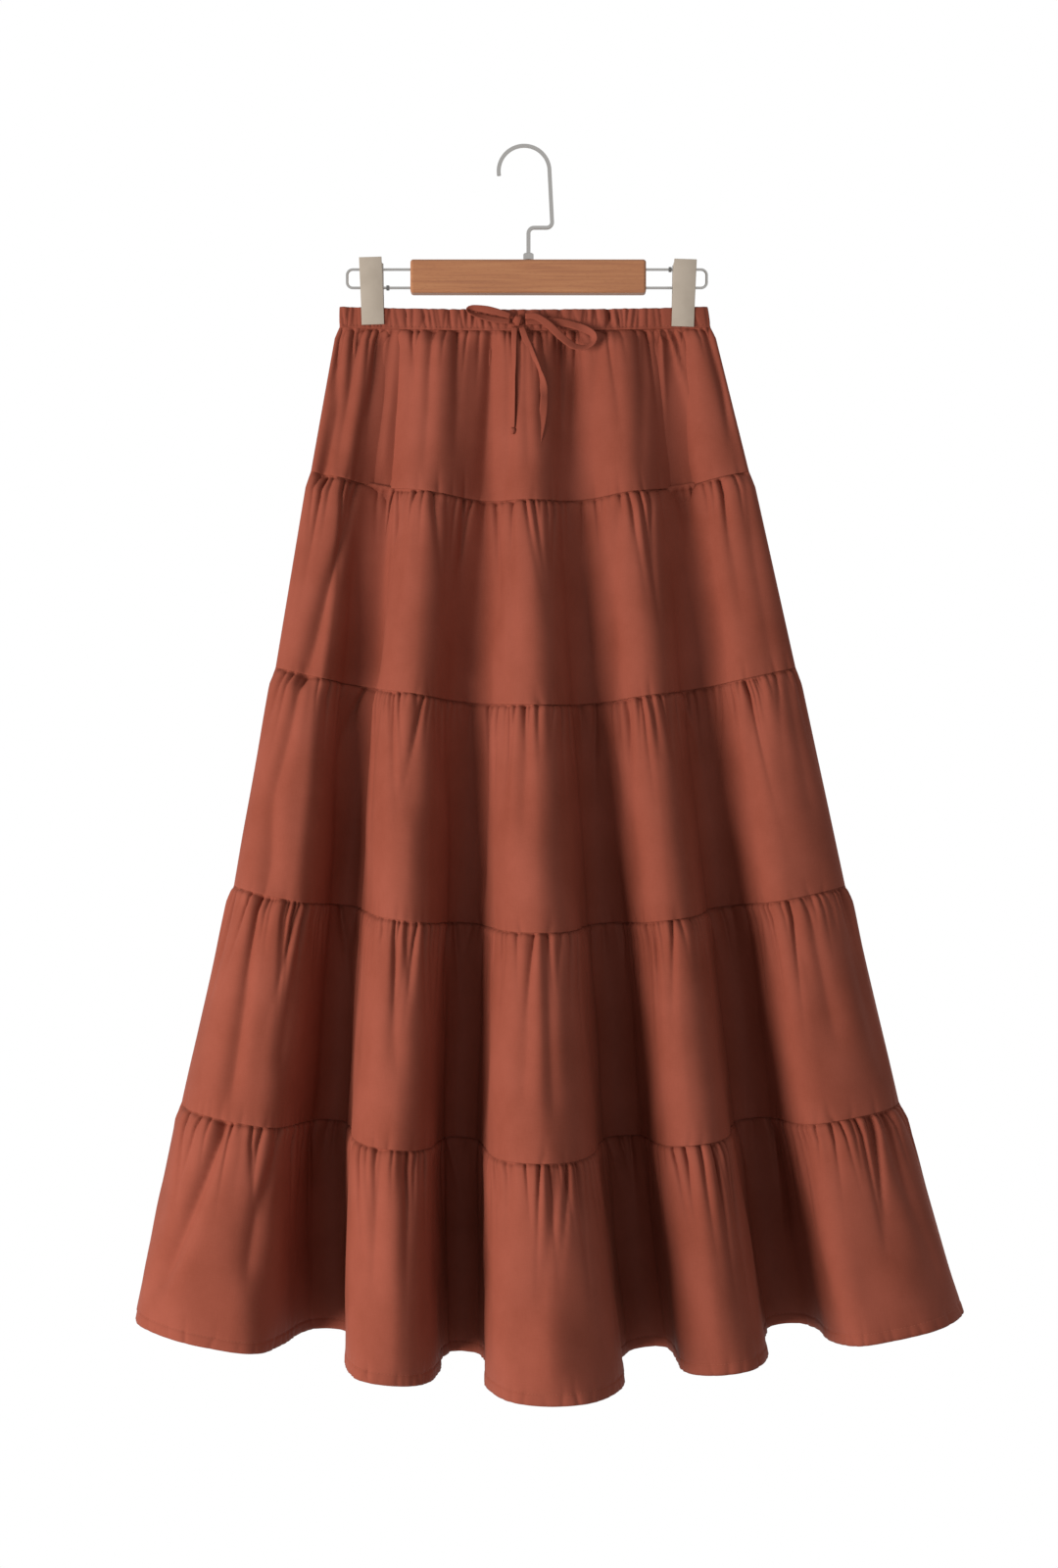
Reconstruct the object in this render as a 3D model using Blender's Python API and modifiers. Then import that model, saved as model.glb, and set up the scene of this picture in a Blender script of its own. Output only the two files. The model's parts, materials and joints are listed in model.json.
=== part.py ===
"""A long skirt of five gathered tiers with a drawstring waist, clipped by its waist to a wooden clip hanger.

Metres, +Z up. The front of the skirt faces -Y and +X is the right of someone looking at it. The origin is on the
underside of the hook's top, where a rail carries the hanger, so everything but the hook's crown lies below it.
"""

import math
from collections import namedtuple

import bmesh
import bpy
from mathutils import Matrix, Vector

MM = 0.001

# Clearances and walls
GAP = 0.3 * MM
CLOTH_WALL = 1.2 * MM
CASING_WALL = 2.0 * MM

# The waist: its two layers are pinched by the clips and stand open between them
PINCH = 1.5 * MM
WAIST_OPEN = 5.5 * MM
FLAT_WAIST = (0.14, 0.885)

# Each tier swells a little just below the seam that gathers it
PUFF = 2.5 * MM
PUFF_TOP = 0.08

# Mesh of the panels: columns to each bend between two folds, and rows as shares of a tier's height
CASING_COLUMNS = 3
TIER_COLUMNS = (3, 4, 4, 5, 6)
CASING_ROWS = (0.0, 1.0)
TIER_ROWS = (0.0, 0.1, 0.4, 0.7, 1.0)

# Share of the way down at which a fold's middle place across is given, and the curve of the seams' dip
KNEE = 0.36
DIP_POWER = 1.6
SLACK_HANDLE = 0.45
SIDE_HANDLE = 0.55

# One row for each seam, from the top: its ends across, its height at the sides, how far it dips in the middle,
# and how much of their full depth the folds have there
Level = namedtuple("Level", "name left right height dip growth")
LEVELS = (
    Level("waist_top", -164.5, 163.5, -142, 3.5, 0.0),
    Level("casing_seam", -164.5, 166, -160, 3.5, 0.0),
    Level("seam_1", -190, 200.5, -289, 28, 0.10),
    Level("seam_2", -221.5, 242, -464, 35, 0.25),
    Level("seam_3", -258.5, 286, -658, 38, 0.48),
    Level("seam_4", -305, 334, -851, 37, 0.72),
    Level("hem", -345.5, 389.5, -1036, 45, 1.0),
)

# One row for each fold, from -X to +X: its place as a share of the width at the waist, at the knee and at the hem,
# its depth at the hem (towards -Y is negative), and how broad it is there
Fold = namedtuple("Fold", "name waist knee hem depth breadth")
FRONT_FOLDS = (
    Fold("pipe_1", 0.065, 0.085, 0.125, -85, 0.80),
    Fold("groove_1", 0.14, 0.155, 0.235, 35, 0.65),
    Fold("pipe_2", 0.26, 0.265, 0.312, -120, 1.20),
    Fold("groove_2", 0.41, 0.370, 0.395, 8, 0.65),
    Fold("pipe_3", 0.51, 0.500, 0.503, -150, 1.25),
    Fold("groove_3", 0.62, 0.602, 0.622, 18, 0.70),
    Fold("pipe_4", 0.75, 0.720, 0.711, -92, 1.10),
    Fold("groove_4", 0.885, 0.810, 0.790, 42, 0.75),
    Fold("pipe_5", 0.955, 0.920, 0.880, -65, 0.80),
)
BACK_FOLDS = (
    Fold("pipe_1", 0.13, 0.16, 0.185, 100, 1.00),
    Fold("groove_1", 0.27, 0.30, 0.320, 40, 0.80),
    Fold("pipe_2", 0.40, 0.42, 0.430, 118, 1.15),
    Fold("groove_2", 0.52, 0.53, 0.530, 28, 0.75),
    Fold("pipe_3", 0.64, 0.63, 0.635, 125, 1.20),
    Fold("groove_3", 0.76, 0.73, 0.725, 36, 0.75),
    Fold("pipe_4", 0.89, 0.85, 0.835, 104, 1.05),
)

# The hanger
BAR = Vector((210.0, 14.0, 30.0)) * MM
BAR_CENTRE = Vector((3.7, 0.0, -115.7)) * MM
BAR_EDGE = 2.5 * MM
HOOK_WIRE = 1.8 * MM
HOOK_BEND = 22.7 * MM
HOOK_TIP_ANGLE = 190.0
HOOK_LEG_X = 25.0 * MM
HOOK_STEP_Z = -71.4 * MM
HOOK_CORNER = 5.0 * MM
HOOK_STEM_X = 3.9 * MM
HOOK_SOCKET = 15.0 * MM
FERRULE = (4.6 * MM, 6.0 * MM)

SLIDE_WIRE = 1.2 * MM
SLIDE_UPPER_Z = -108.7 * MM
SLIDE_LOWER_Z = -125.1 * MM
SLIDE_CORNER = 5.0 * MM
SLIDE_SOCKET = 14.0 * MM
SLIDE_STOP = (2.3 * MM, 2.6 * MM)

# One row for each side: the far end of its slide wire, and its clip's place, lean and top
Side = namedtuple("Side", "name sign wire_end clip_x lean clip_top stop_x stop_z")
SIDES = (
    Side("left", -1, -158.0, -136.0, 1.7, -100.5, -121.6, -125.1),
    Side("right", 1, 163.0, 142.8, -1.8, -102.3, 130.4, -108.7),
)
CLIP_LENGTH = 58.0 * MM
CLIP_WIDTH = 20.0 * MM
CLIP_SHEET = 1.5 * MM
CLIP_JAW = 16.0 * MM
CLIP_SPREAD = 9.0 * MM
CHEEK_WALL = 1.2 * MM
CHEEK_REACH = 3.6 * MM
CHEEK_TOP_Z = -104.0 * MM
CHEEK_BOTTOM_Z = -131.5 * MM
CHEEK_HOLE = 2.1 * MM
SPRING = (5.5 * MM, 0.6 * MM, 4, 10.4 * MM)

# The drawstring: (x, z, stand-off from the cloth) in millimetres along each stretch
TIE_RADIUS = 1.5 * MM
TIE_STEP = 4.0 * MM
KNOT_CENTRE = (-5.3, -156.4)
KNOT_SIZE = Vector((5.2, 2.9, 4.2)) * MM
TIE_ROUTES = {
    "left_loop": (
        (-12.3, -156.8, 0.6), (-24.5, -155.4, 0.8), (-37.5, -152.6, 1.2), (-46.5, -149.6, 1.8),
        (-50.1, -147.0, 2.4), (-46.5, -145.2, 3.0), (-37.0, -146.2, 3.4), (-24.5, -148.8, 3.4),
        (-12.1, -152.6, 2.8),
    ),
    "right_loop": (
        (1.3, -157.6, 0.6), (13.5, -156.6, 0.6), (28.0, -157.2, 0.8), (41.5, -159.6, 1.4),
        (53.5, -163.6, 2.2), (61.7, -169.0, 2.8), (62.1, -175.6, 3.4), (54.5, -180.6, 4.2),
        (44.5, -179.6, 4.6), (33.5, -171.8, 4.8), (21.5, -160.6, 5.0), (10.5, -153.4, 4.6),
        (1.1, -152.8, 3.2),
    ),
    "left_tail": (
        (-8.4, -161.8, 0.8), (-9.0, -175.0, 1.4), (-8.8, -195.0, 1.8), (-9.2, -215.0, 1.8),
        (-9.7, -235.0, 1.6), (-10.1, -252.0, 0.6),
    ),
    "right_tail": (
        (-2.1, -161.9, 0.8), (0.9, -172.0, 1.4), (7.1, -188.0, 1.8), (13.7, -203.0, 2.0),
        (17.4, -217.0, 2.0), (17.4, -233.0, 1.8), (15.1, -250.0, 0.4), (11.5, -267.0, 0.0),
    ),
}
TAIL_KNOT = Vector((2.6, 2.2, 2.8)) * MM


def mix(a, b, share):
    return a + (b - a) * share


def level_at(place):
    """The section at a place down the skirt: 0 is the waist's top, 1 the casing seam, 6 the hem. In metres."""
    index = min(int(place), len(LEVELS) - 2)
    upper, lower = LEVELS[index], LEVELS[index + 1]
    down = place - index
    values = [mix(a, b, down) for a, b in zip(upper[1:5], lower[1:5])]
    left, right, height, dip = (value * MM for value in values)
    swell = PUFF * min(down / PUFF_TOP, 1.0) * (1.0 - down) if index > 0 else 0.0
    growth = mix(upper.growth, lower.growth, down)
    return Level(upper.name, left - swell, right + swell, height, dip, growth), swell


def fall(level):
    """How far down the skirt a section lies, from 0 at the waist to 1 at the hem."""
    top, bottom = LEVELS[0].height * MM, LEVELS[-1].height * MM
    return (level.height - top) / (bottom - top)


def share_across(fold, level):
    """Where a fold's line lies across the skirt at a section, as a share of its width."""
    down = fall(level)
    if down < KNEE:
        return mix(fold.waist, fold.knee, down / KNEE)
    return mix(fold.knee, fold.hem, (down - KNEE) / (1.0 - KNEE))


def waist_depth(share):
    """How far a layer's middle stands from the mid plane at the waist: pinched at the clips, open between them."""
    start, end = FLAT_WAIST
    inside = min(max((share - start) / (end - start), 0.0), 1.0)
    return PINCH + (WAIST_OPEN - PINCH) * math.sin(math.pi * inside)


def fold_keys(place, folds, facing, wall):
    """A section's turning points: (x, y, handle towards -X, handle towards +X). facing is -1 in front, 1 behind.

    The two panels lie flat on each other at the side seams, a gap apart, so a side's place depends on the wall.
    """
    level, swell = level_at(place)
    width = level.right - level.left
    crests = []
    for fold in folds:
        share = share_across(fold, level)
        depth = mix(facing * waist_depth(share), fold.depth * MM, level.growth)
        if fold.name.startswith("pipe"):
            depth += facing * swell
        crests.append((level.left + share * width, depth, mix(SLACK_HANDLE, fold.breadth, level.growth)))
    keys = []
    side_y = facing * (GAP + wall) / 2
    keys.append((level.left, side_y, Vector(), Vector((0.0, SIDE_HANDLE * (crests[0][1] - side_y)))))
    for index, (x, y, breadth) in enumerate(crests):
        before = crests[index - 1][0] if index else level.left
        after = crests[index + 1][0] if index + 1 < len(crests) else level.right
        keys.append((x, y, Vector((-breadth * (x - before), 0.0)), Vector((breadth * (after - x), 0.0))))
    keys.append((level.right, side_y, Vector((0.0, SIDE_HANDLE * (crests[-1][1] - side_y))), Vector()))
    return level, keys


def bezier(start, start_handle, end, end_handle, share):
    """A point on the cubic curve between two turning points."""
    rest = 1.0 - share
    return (
        rest**3 * start
        + 3 * rest**2 * share * (start + start_handle)
        + 3 * rest * share**2 * (end + end_handle)
        + share**3 * end
    )


def section(place, folds, facing, columns, wall=CLOTH_WALL):
    """The points of one horizontal section of a panel's middle surface, from -X to +X."""
    level, keys = fold_keys(place, folds, facing, wall)
    flat = []
    for first, second in zip(keys, keys[1:]):
        start, end = Vector(first[:2]), Vector(second[:2])
        steps = range(columns) if second is not keys[-1] else range(columns + 1)
        flat += [bezier(start, first[3], end, second[2], step / columns) for step in steps]
    points = []
    for x, y in flat:
        off_centre = abs(2 * (x - level.left) / (level.right - level.left) - 1)
        height = level.height - level.dip * (1 - min(off_centre, 1.0) ** DIP_POWER)
        points.append(Vector((x, y, height)))
    return points


def front_y(x, z):
    """The front panels' middle surface at a place in the front view, between the waist and the first seam."""
    low, high = 0.0, 2.0
    for _ in range(30):
        place = (low + high) / 2
        points = section(place, FRONT_FOLDS, -1, CASING_COLUMNS)
        after = next(index for index, point in enumerate(points) if point.x > x)
        before, beyond = points[after - 1], points[after]
        share = (x - before.x) / (beyond.x - before.x)
        here = before.lerp(beyond, share)
        if here.z > z:
            low = place
        else:
            high = place
    return here.y


def clear_scene():
    for thing in list(bpy.data.objects):
        bpy.data.objects.remove(thing, do_unlink=True)


def collection(name):
    made = bpy.data.collections.new(name)
    bpy.context.scene.collection.children.link(made)
    return made


def material(name, colour, roughness, metallic=0.0):
    made = bpy.data.materials.new(name)
    made.use_nodes = True
    shader = made.node_tree.nodes["Principled BSDF"]
    shader.inputs["Base Color"].default_value = (*colour, 1.0)
    shader.inputs["Roughness"].default_value = roughness
    shader.inputs["Metallic"].default_value = metallic
    made.diffuse_color = (*colour, 1.0)
    return made


def add_object(name, data, finish, group):
    made = bpy.data.objects.new(name, data)
    if finish:
        data.materials.append(finish)
    group.objects.link(made)
    return made


def smooth(made, angle=40.0):
    made.data.shade_smooth()
    made.data.set_sharp_from_angle(angle=math.radians(angle))


def mesh_from(name, build):
    """A mesh made by a function that fills a bmesh."""
    shape = bmesh.new()
    build(shape)
    bmesh.ops.recalc_face_normals(shape, faces=shape.faces)
    mesh = bpy.data.meshes.new(name)
    shape.to_mesh(mesh)
    shape.free()
    return mesh


def panel(name, places, folds, facing, columns, wall, finish, group):
    """A cloth wall lofted through sections, half its thickness to each side of them."""
    rings = [section(place, folds, facing, columns, wall) for place in places]
    rings[0] = [point - Vector((0, 0, GAP / 2)) for point in rings[0]]
    rings[-1] = [point + Vector((0, 0, GAP / 2)) for point in rings[-1]]
    across = len(rings[0])
    points = [point for ring in rings for point in ring]
    faces = []
    for row in range(len(rings) - 1):
        for column in range(across - 1):
            corner = row * across + column
            quad = (corner, corner + across, corner + across + 1, corner + 1)
            faces.append(quad if facing < 0 else quad[::-1])
    mesh = bpy.data.meshes.new(name)
    mesh.from_pydata(points, [], faces)
    made = add_object(name, mesh, finish, group)
    shell = made.modifiers.new("wall", "SOLIDIFY")
    shell.thickness = wall
    shell.offset = 0.0
    shell.use_even_offset = True
    smooth(made, 60.0)
    return made


def make_skirt(cloth, group):
    """The casing and five tiers, each of a front and a back panel."""
    for side, folds, facing in (("front", FRONT_FOLDS, -1), ("back", BACK_FOLDS, 1)):
        panel(f"waist_casing_{side}", CASING_ROWS, folds, facing, CASING_COLUMNS, CASING_WALL, cloth, group)
        for tier, columns in enumerate(TIER_COLUMNS, start=1):
            places = [tier + row for row in TIER_ROWS]
            panel(f"tier_{tier}_{side}", places, folds, facing, columns, CLOTH_WALL, cloth, group)


def smooth_route(points, step):
    """Points about a step apart on a smooth curve through a route's own points (a Catmull-Rom curve)."""
    route = [2 * points[0] - points[1], *points, 2 * points[-1] - points[-2]]
    line = []
    for a, b, c, d in zip(route, route[1:], route[2:], route[3:]):
        count = max(1, round((c - b).length / step))
        for index in range(count):
            t = index / count
            line.append(
                0.5 * (2 * b + (c - a) * t + (2 * a - 5 * b + 4 * c - d) * t**2 + (3 * b - a - 3 * c + d) * t**3)
            )
    return [*line, points[-1]]


def tube(name, points, radius, resolution, finish, group):
    """A round bar along a line of points, with its ends closed."""
    curve = bpy.data.curves.new(name, "CURVE")
    curve.dimensions = "3D"
    spline = curve.splines.new("POLY")
    spline.points.add(len(points) - 1)
    for knot, point in zip(spline.points, points):
        knot.co = (*point, 1.0)
    curve.bevel_depth = radius
    curve.bevel_resolution = resolution
    curve.use_fill_caps = True
    return add_object(name, curve, finish, group)


def ball(name, centre, size, finish, group):
    """An egg-shaped knot."""
    mesh = mesh_from(
        name,
        lambda shape: bmesh.ops.create_uvsphere(
            shape, u_segments=14, v_segments=8, radius=1.0, matrix=Matrix.Diagonal((*size, 1.0))
        ),
    )
    made = add_object(name, mesh, finish, group)
    made.location = centre
    smooth(made)
    return made


def make_drawstring(cloth, group):
    """The bow tied in the front of the casing: two loops, the knot and two tails, lying just off the cloth."""
    skin = CASING_WALL / 2 + GAP
    knot_x, knot_z = (value * MM for value in KNOT_CENTRE)
    knot = Vector((knot_x, front_y(knot_x, knot_z) - skin - KNOT_SIZE.y, knot_z))
    ball("drawstring_knot", knot, KNOT_SIZE, cloth, group)
    for name, rows in TIE_ROUTES.items():
        points = []
        for x, z, off in rows:
            y = front_y(x * MM, z * MM) - skin - TIE_RADIUS - off * MM
            points.append(Vector((x * MM, y, z * MM)))
        tube(f"drawstring_{name}", smooth_route(points, TIE_STEP), TIE_RADIUS, 2, cloth, group)
        if name == "left_tail":
            below = points[-1] - Vector((0, 0, TAIL_KNOT.z + GAP))
            ball("drawstring_tail_knot", below, TAIL_KNOT, cloth, group)


def arc(centre, radius, start, end, steps):
    """Points on an arc in the XZ plane, angles in degrees from +X towards +Z."""
    points = []
    for step in range(steps + 1):
        angle = math.radians(mix(start, end, step / steps))
        points.append(centre + radius * Vector((math.cos(angle), 0.0, math.sin(angle))))
    return points


def box_mesh(name, size):
    return mesh_from(name, lambda shape: bmesh.ops.create_cube(shape, size=1.0, matrix=Matrix.Diagonal((*size, 1.0))))


def cut(made, radius, length, centre, along, group):
    """Bores a round hole, centred on a point and running along X or Z."""
    turn = Matrix.Rotation(math.pi / 2, 4, "Y") if along == "X" else Matrix.Identity(4)
    mesh = mesh_from(
        "bore",
        lambda shape: bmesh.ops.create_cone(
            shape, cap_ends=True, segments=20, radius1=radius, radius2=radius, depth=length, matrix=turn
        ),
    )
    cutter = add_object(f"cut_{made.name}", mesh, None, group)
    cutter.location = centre
    cutter.hide_render = True
    cutter.display_type = "WIRE"
    boolean = made.modifiers.new("bore", "BOOLEAN")
    boolean.operation = "DIFFERENCE"
    boolean.object = cutter


def turned_ring(name, inner, outer, length, finish, group):
    """A ring turned about Z, its bore running right through and its outer edges eased."""
    ease = 0.3 * (outer - inner)
    half = length / 2
    profile = ((inner, half), (outer - ease, half), (outer, half - ease), (outer, -half), (inner, -half))
    mesh = bpy.data.meshes.new(name)
    edges = [(index, (index + 1) % len(profile)) for index in range(len(profile))]
    mesh.from_pydata([(x, 0.0, z) for x, z in profile], edges, [])
    made = add_object(name, mesh, finish, group)
    screw = made.modifiers.new("turn", "SCREW")
    screw.steps = screw.render_steps = 20
    screw.use_merge_vertices = True
    screw.merge_threshold = 0.0001 * MM
    return made


def make_bar(wood, group, cutters):
    """The wooden bar, bored for the hook's stem and for both ends of each slide wire."""
    bar = add_object("hanger_bar", box_mesh("hanger_bar", BAR), wood, group)
    bar.location = BAR_CENTRE
    edge = bar.modifiers.new("eased_edges", "BEVEL")
    edge.width = BAR_EDGE
    edge.segments = 3
    top = BAR_CENTRE.z + BAR.z / 2
    cut(bar, HOOK_WIRE + GAP, 2 * (HOOK_SOCKET + GAP), Vector((HOOK_STEM_X, 0, top)), "Z", cutters)
    for side in SIDES:
        end = BAR_CENTRE.x + side.sign * BAR.x / 2
        for z in (SLIDE_UPPER_Z, SLIDE_LOWER_Z):
            cut(bar, SLIDE_WIRE + GAP, 2 * (SLIDE_SOCKET + GAP), Vector((end, 0, z)), "X", cutters)
    return bar


def make_hook(chrome, group):
    """The offset wire hook: a crown over the rail, a straight leg, a step back to the middle and a stem."""
    crown = Vector((0.0, 0.0, HOOK_WIRE - HOOK_BEND))
    leg_bottom = Vector((HOOK_LEG_X - HOOK_CORNER, 0, HOOK_STEP_Z + HOOK_CORNER))
    stem_top = Vector((HOOK_STEM_X + HOOK_CORNER, 0, HOOK_STEP_Z - HOOK_CORNER))
    bar_top = BAR_CENTRE.z + BAR.z / 2
    points = [
        *arc(crown, HOOK_BEND, HOOK_TIP_ANGLE, 0, 20),
        *arc(leg_bottom, HOOK_CORNER, 0, -90, 4),
        *arc(stem_top, HOOK_CORNER, 90, 180, 4),
        Vector((HOOK_STEM_X, 0, bar_top - HOOK_SOCKET)),
    ]
    tube("hanger_hook", points, HOOK_WIRE, 3, chrome, group)
    outer, length = FERRULE
    ferrule = turned_ring("hook_ferrule", HOOK_WIRE + GAP, outer, length, chrome, group)
    ferrule.location = (HOOK_STEM_X, 0, bar_top + GAP + length / 2)


def make_slide(side, chrome, group):
    """A wire loop that carries one clip, both its ends held in the bar's end, and the stop beside the clip."""
    end = side.wire_end * MM - side.sign * SLIDE_CORNER
    held = BAR_CENTRE.x + side.sign * (BAR.x / 2 - SLIDE_SOCKET)
    turn = 0 if side.sign > 0 else 180
    upper = arc(Vector((end, 0, SLIDE_UPPER_Z - SLIDE_CORNER)), SLIDE_CORNER, 90, turn, 4)
    lower = arc(Vector((end, 0, SLIDE_LOWER_Z + SLIDE_CORNER)), SLIDE_CORNER, turn, 270 if turn else -90, 4)
    points = [Vector((held, 0, SLIDE_UPPER_Z)), *upper, *lower, Vector((held, 0, SLIDE_LOWER_Z))]
    tube(f"slide_wire_{side.name}", points, SLIDE_WIRE, 2, chrome, group)
    outer, length = SLIDE_STOP
    stop = turned_ring(f"wire_stop_{side.name}", SLIDE_WIRE + GAP, outer, length, chrome, group)
    stop.rotation_euler = (0, math.pi / 2, 0)
    stop.location = (side.stop_x * MM, 0, side.stop_z * MM)


def jaw_outline(facing):
    """A jaw's side view as (y, distance below its top): straight where it grips, leaning out above that."""
    grip = PINCH + CASING_WALL / 2 + GAP
    inner = ((grip, CLIP_LENGTH), (grip, CLIP_LENGTH - CLIP_JAW), (grip + CLIP_SPREAD, 0.0))
    outer = [(y + CLIP_SHEET, down) for y, down in reversed(inner)]
    return [(facing * y, down) for y, down in (*inner, *outer)]


def make_jaw(side, part, facing, finish, group, cutters):
    """One bent jaw of a clip with its two cheeks, bored where both slide wires pass through them."""
    name = f"clip_{side.name}_{part}"
    top = side.clip_top * MM
    outline = bpy.data.curves.new(name, "CURVE")
    outline.dimensions = "2D"
    outline.fill_mode = "BOTH"
    outline.extrude = CLIP_WIDTH / 2
    spline = outline.splines.new("POLY")
    corners = jaw_outline(facing)
    spline.points.add(len(corners) - 1)
    for knot, (y, down) in zip(spline.points, corners):
        knot.co = (y, top - down, 0.0, 1.0)
    spline.use_cyclic_u = True
    blank = add_object(f"{name}_blank", outline, None, group)
    blank.rotation_euler = (math.pi / 2, 0, math.pi / 2)
    bpy.context.view_layer.update()
    mesh = bpy.data.meshes.new_from_object(blank.evaluated_get(bpy.context.evaluated_depsgraph_get()))
    mesh.transform(blank.matrix_world)
    bpy.data.objects.remove(blank, do_unlink=True)
    shape = bmesh.new()
    shape.from_mesh(mesh)
    bmesh.ops.remove_doubles(shape, verts=shape.verts, dist=0.01 * MM)
    bmesh.ops.recalc_face_normals(shape, faces=shape.faces)
    shape.to_mesh(mesh)
    shape.free()
    jaw = add_object(name, mesh, finish, group)
    inset = 0.0 if part == "front" else CHEEK_WALL + GAP
    tall = CHEEK_TOP_Z - CHEEK_BOTTOM_Z
    middle_z = (CHEEK_TOP_Z + CHEEK_BOTTOM_Z) / 2
    lean = CLIP_SPREAD / (CLIP_LENGTH - CLIP_JAW)
    root = PINCH + CASING_WALL / 2 + GAP + lean * (CLIP_LENGTH - CLIP_JAW - (top - CHEEK_BOTTOM_Z))
    depth = root + CLIP_SHEET / 2 + CHEEK_REACH
    for hand in (-1, 1):
        cheek = add_object(f"cheek_{name}", box_mesh("cheek", (CHEEK_WALL, depth, tall)), None, cutters)
        across = hand * (CLIP_WIDTH / 2 - CHEEK_WALL / 2 - inset)
        cheek.location = (across, facing * (depth / 2 - CHEEK_REACH), middle_z)
        cheek.hide_render = True
        cheek.display_type = "WIRE"
        join = jaw.modifiers.new("cheek", "BOOLEAN")
        join.operation = "UNION"
        join.object = cheek
    for z in (SLIDE_UPPER_Z, SLIDE_LOWER_Z):
        cut(jaw, CHEEK_HOLE, 2 * CLIP_WIDTH, Vector((0, 0, z)), "X", cutters)
    return jaw


def make_clip(side, parts):
    """A clip's two jaws and the coil spring between them, leaning a little on its slide wire."""
    _, greige, steel, group, cutters = parts
    pivot = Vector((side.clip_x * MM, 0.0, (SLIDE_UPPER_Z + SLIDE_LOWER_Z) / 2))
    lean = bpy.data.objects.new(f"clip_{side.name}_lean", None)
    group.objects.link(lean)
    built = set(group.objects) | set(cutters.objects)
    for part, facing in (("front", -1), ("back", 1)):
        make_jaw(side, part, facing, greige, group, cutters)
    radius, wire, turns, length = SPRING
    steps = 10
    coil = []
    for index in range(turns * steps + 1):
        angle = 2 * math.pi * index / steps
        along = mix(-length / 2, length / 2, index / (turns * steps))
        coil.append(Vector((along, radius * math.cos(angle), SLIDE_LOWER_Z + radius * math.sin(angle))))
    tube(f"clip_{side.name}_spring", coil, wire, 2, steel, group)
    shift = Matrix.Translation((0, 0, pivot.z))
    for made in (set(group.objects) | set(cutters.objects)) - built:
        made.parent = lean
        made.matrix_parent_inverse = shift.inverted()
    lean.location = pivot
    lean.rotation_euler = (0, -math.radians(side.lean), 0)


def main():
    clear_scene()
    skirt = collection("tiered_ruffle_skirt")
    cutters = collection("cutters")
    cutters.hide_render = True
    cloth = material("terracotta_cotton", (0.300, 0.078, 0.045), 0.75)
    wood = material("varnished_beech", (0.42, 0.17, 0.075), 0.45)
    chrome = material("chromed_wire", (0.75, 0.74, 0.72), 0.18, 1.0)
    greige = material("coated_clip", (0.43, 0.39, 0.33), 0.5)
    steel = material("spring_steel", (0.45, 0.45, 0.46), 0.35, 1.0)
    make_skirt(cloth, skirt)
    make_drawstring(cloth, skirt)
    make_bar(wood, skirt, cutters)
    make_hook(chrome, skirt)
    for side in SIDES:
        make_slide(side, chrome, skirt)
        make_clip(side, (chrome, greige, steel, skirt, cutters))
    bpy.context.view_layer.update()


main()
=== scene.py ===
"""Looks of a long tiered skirt on a wooden clip hanger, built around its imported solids.

The cloth is worked out again from the same sections as the solids, as thin shells with their gathers, creases,
tucked seams and stitched hem. Everything is in metres, in the solids' own frame: +Z up, the front faces -Y and the
origin lies under the crown of the hook.
"""

from __future__ import annotations

import json
import logging
import math
from dataclasses import dataclass, field
from enum import Enum
from typing import Any

import bpy
import numpy as np
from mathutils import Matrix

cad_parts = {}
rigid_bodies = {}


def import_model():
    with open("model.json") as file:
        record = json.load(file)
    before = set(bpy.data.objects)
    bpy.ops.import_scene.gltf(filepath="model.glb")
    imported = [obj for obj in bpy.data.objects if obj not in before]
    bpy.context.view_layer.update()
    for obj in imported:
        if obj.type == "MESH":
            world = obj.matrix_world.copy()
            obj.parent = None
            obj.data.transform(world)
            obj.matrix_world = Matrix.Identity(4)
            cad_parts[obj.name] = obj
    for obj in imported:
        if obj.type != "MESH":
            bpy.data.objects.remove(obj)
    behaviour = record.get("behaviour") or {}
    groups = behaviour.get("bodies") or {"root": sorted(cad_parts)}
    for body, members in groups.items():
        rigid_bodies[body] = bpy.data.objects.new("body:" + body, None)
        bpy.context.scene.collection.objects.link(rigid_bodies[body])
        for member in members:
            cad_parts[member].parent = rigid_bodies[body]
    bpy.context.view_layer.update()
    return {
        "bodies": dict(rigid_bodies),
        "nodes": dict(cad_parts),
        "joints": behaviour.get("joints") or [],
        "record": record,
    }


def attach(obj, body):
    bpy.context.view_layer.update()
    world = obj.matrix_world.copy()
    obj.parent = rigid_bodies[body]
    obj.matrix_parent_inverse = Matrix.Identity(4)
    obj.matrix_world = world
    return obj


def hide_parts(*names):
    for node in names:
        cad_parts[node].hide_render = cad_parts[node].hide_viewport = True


Array = np.ndarray
Material, NodeTree, Object = bpy.types.Material, bpy.types.NodeTree, bpy.types.Object
Pair, Triple = tuple[float, float], tuple[float, float, float]
MM = 0.001
LOG = logging.getLogger("skirt")


class Facing(Enum):
    """The side of the skirt that a panel is on, with the sign of its outward Y."""

    FRONT = -1
    BACK = 1

    @property
    def word(self) -> str:
        """The side's name in piece names."""
        return self.name.lower()


# ---- Meshes


def grid_faces(rows: int, columns: int, flip: bool = False, ring: bool = False) -> Array:
    """Quads over a grid of points numbered row by row.

    Args:
        rows: How many rows of points there are.
        columns: How many points each row has.
        flip: Turns the faces over.
        ring: Joins the last row back to the first.

    Returns:
        An array of corner numbers, four to a face.
    """
    last = rows if ring else rows - 1
    row, column = np.meshgrid(np.arange(last), np.arange(columns - 1), indexing="ij")
    below = (row + 1) % rows
    quads = np.stack(
        [row * columns + column, below * columns + column, below * columns + column + 1, row * columns + column + 1],
        axis=-1,
    ).reshape(-1, 4)
    return quads[:, ::-1] if flip else quads


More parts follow.
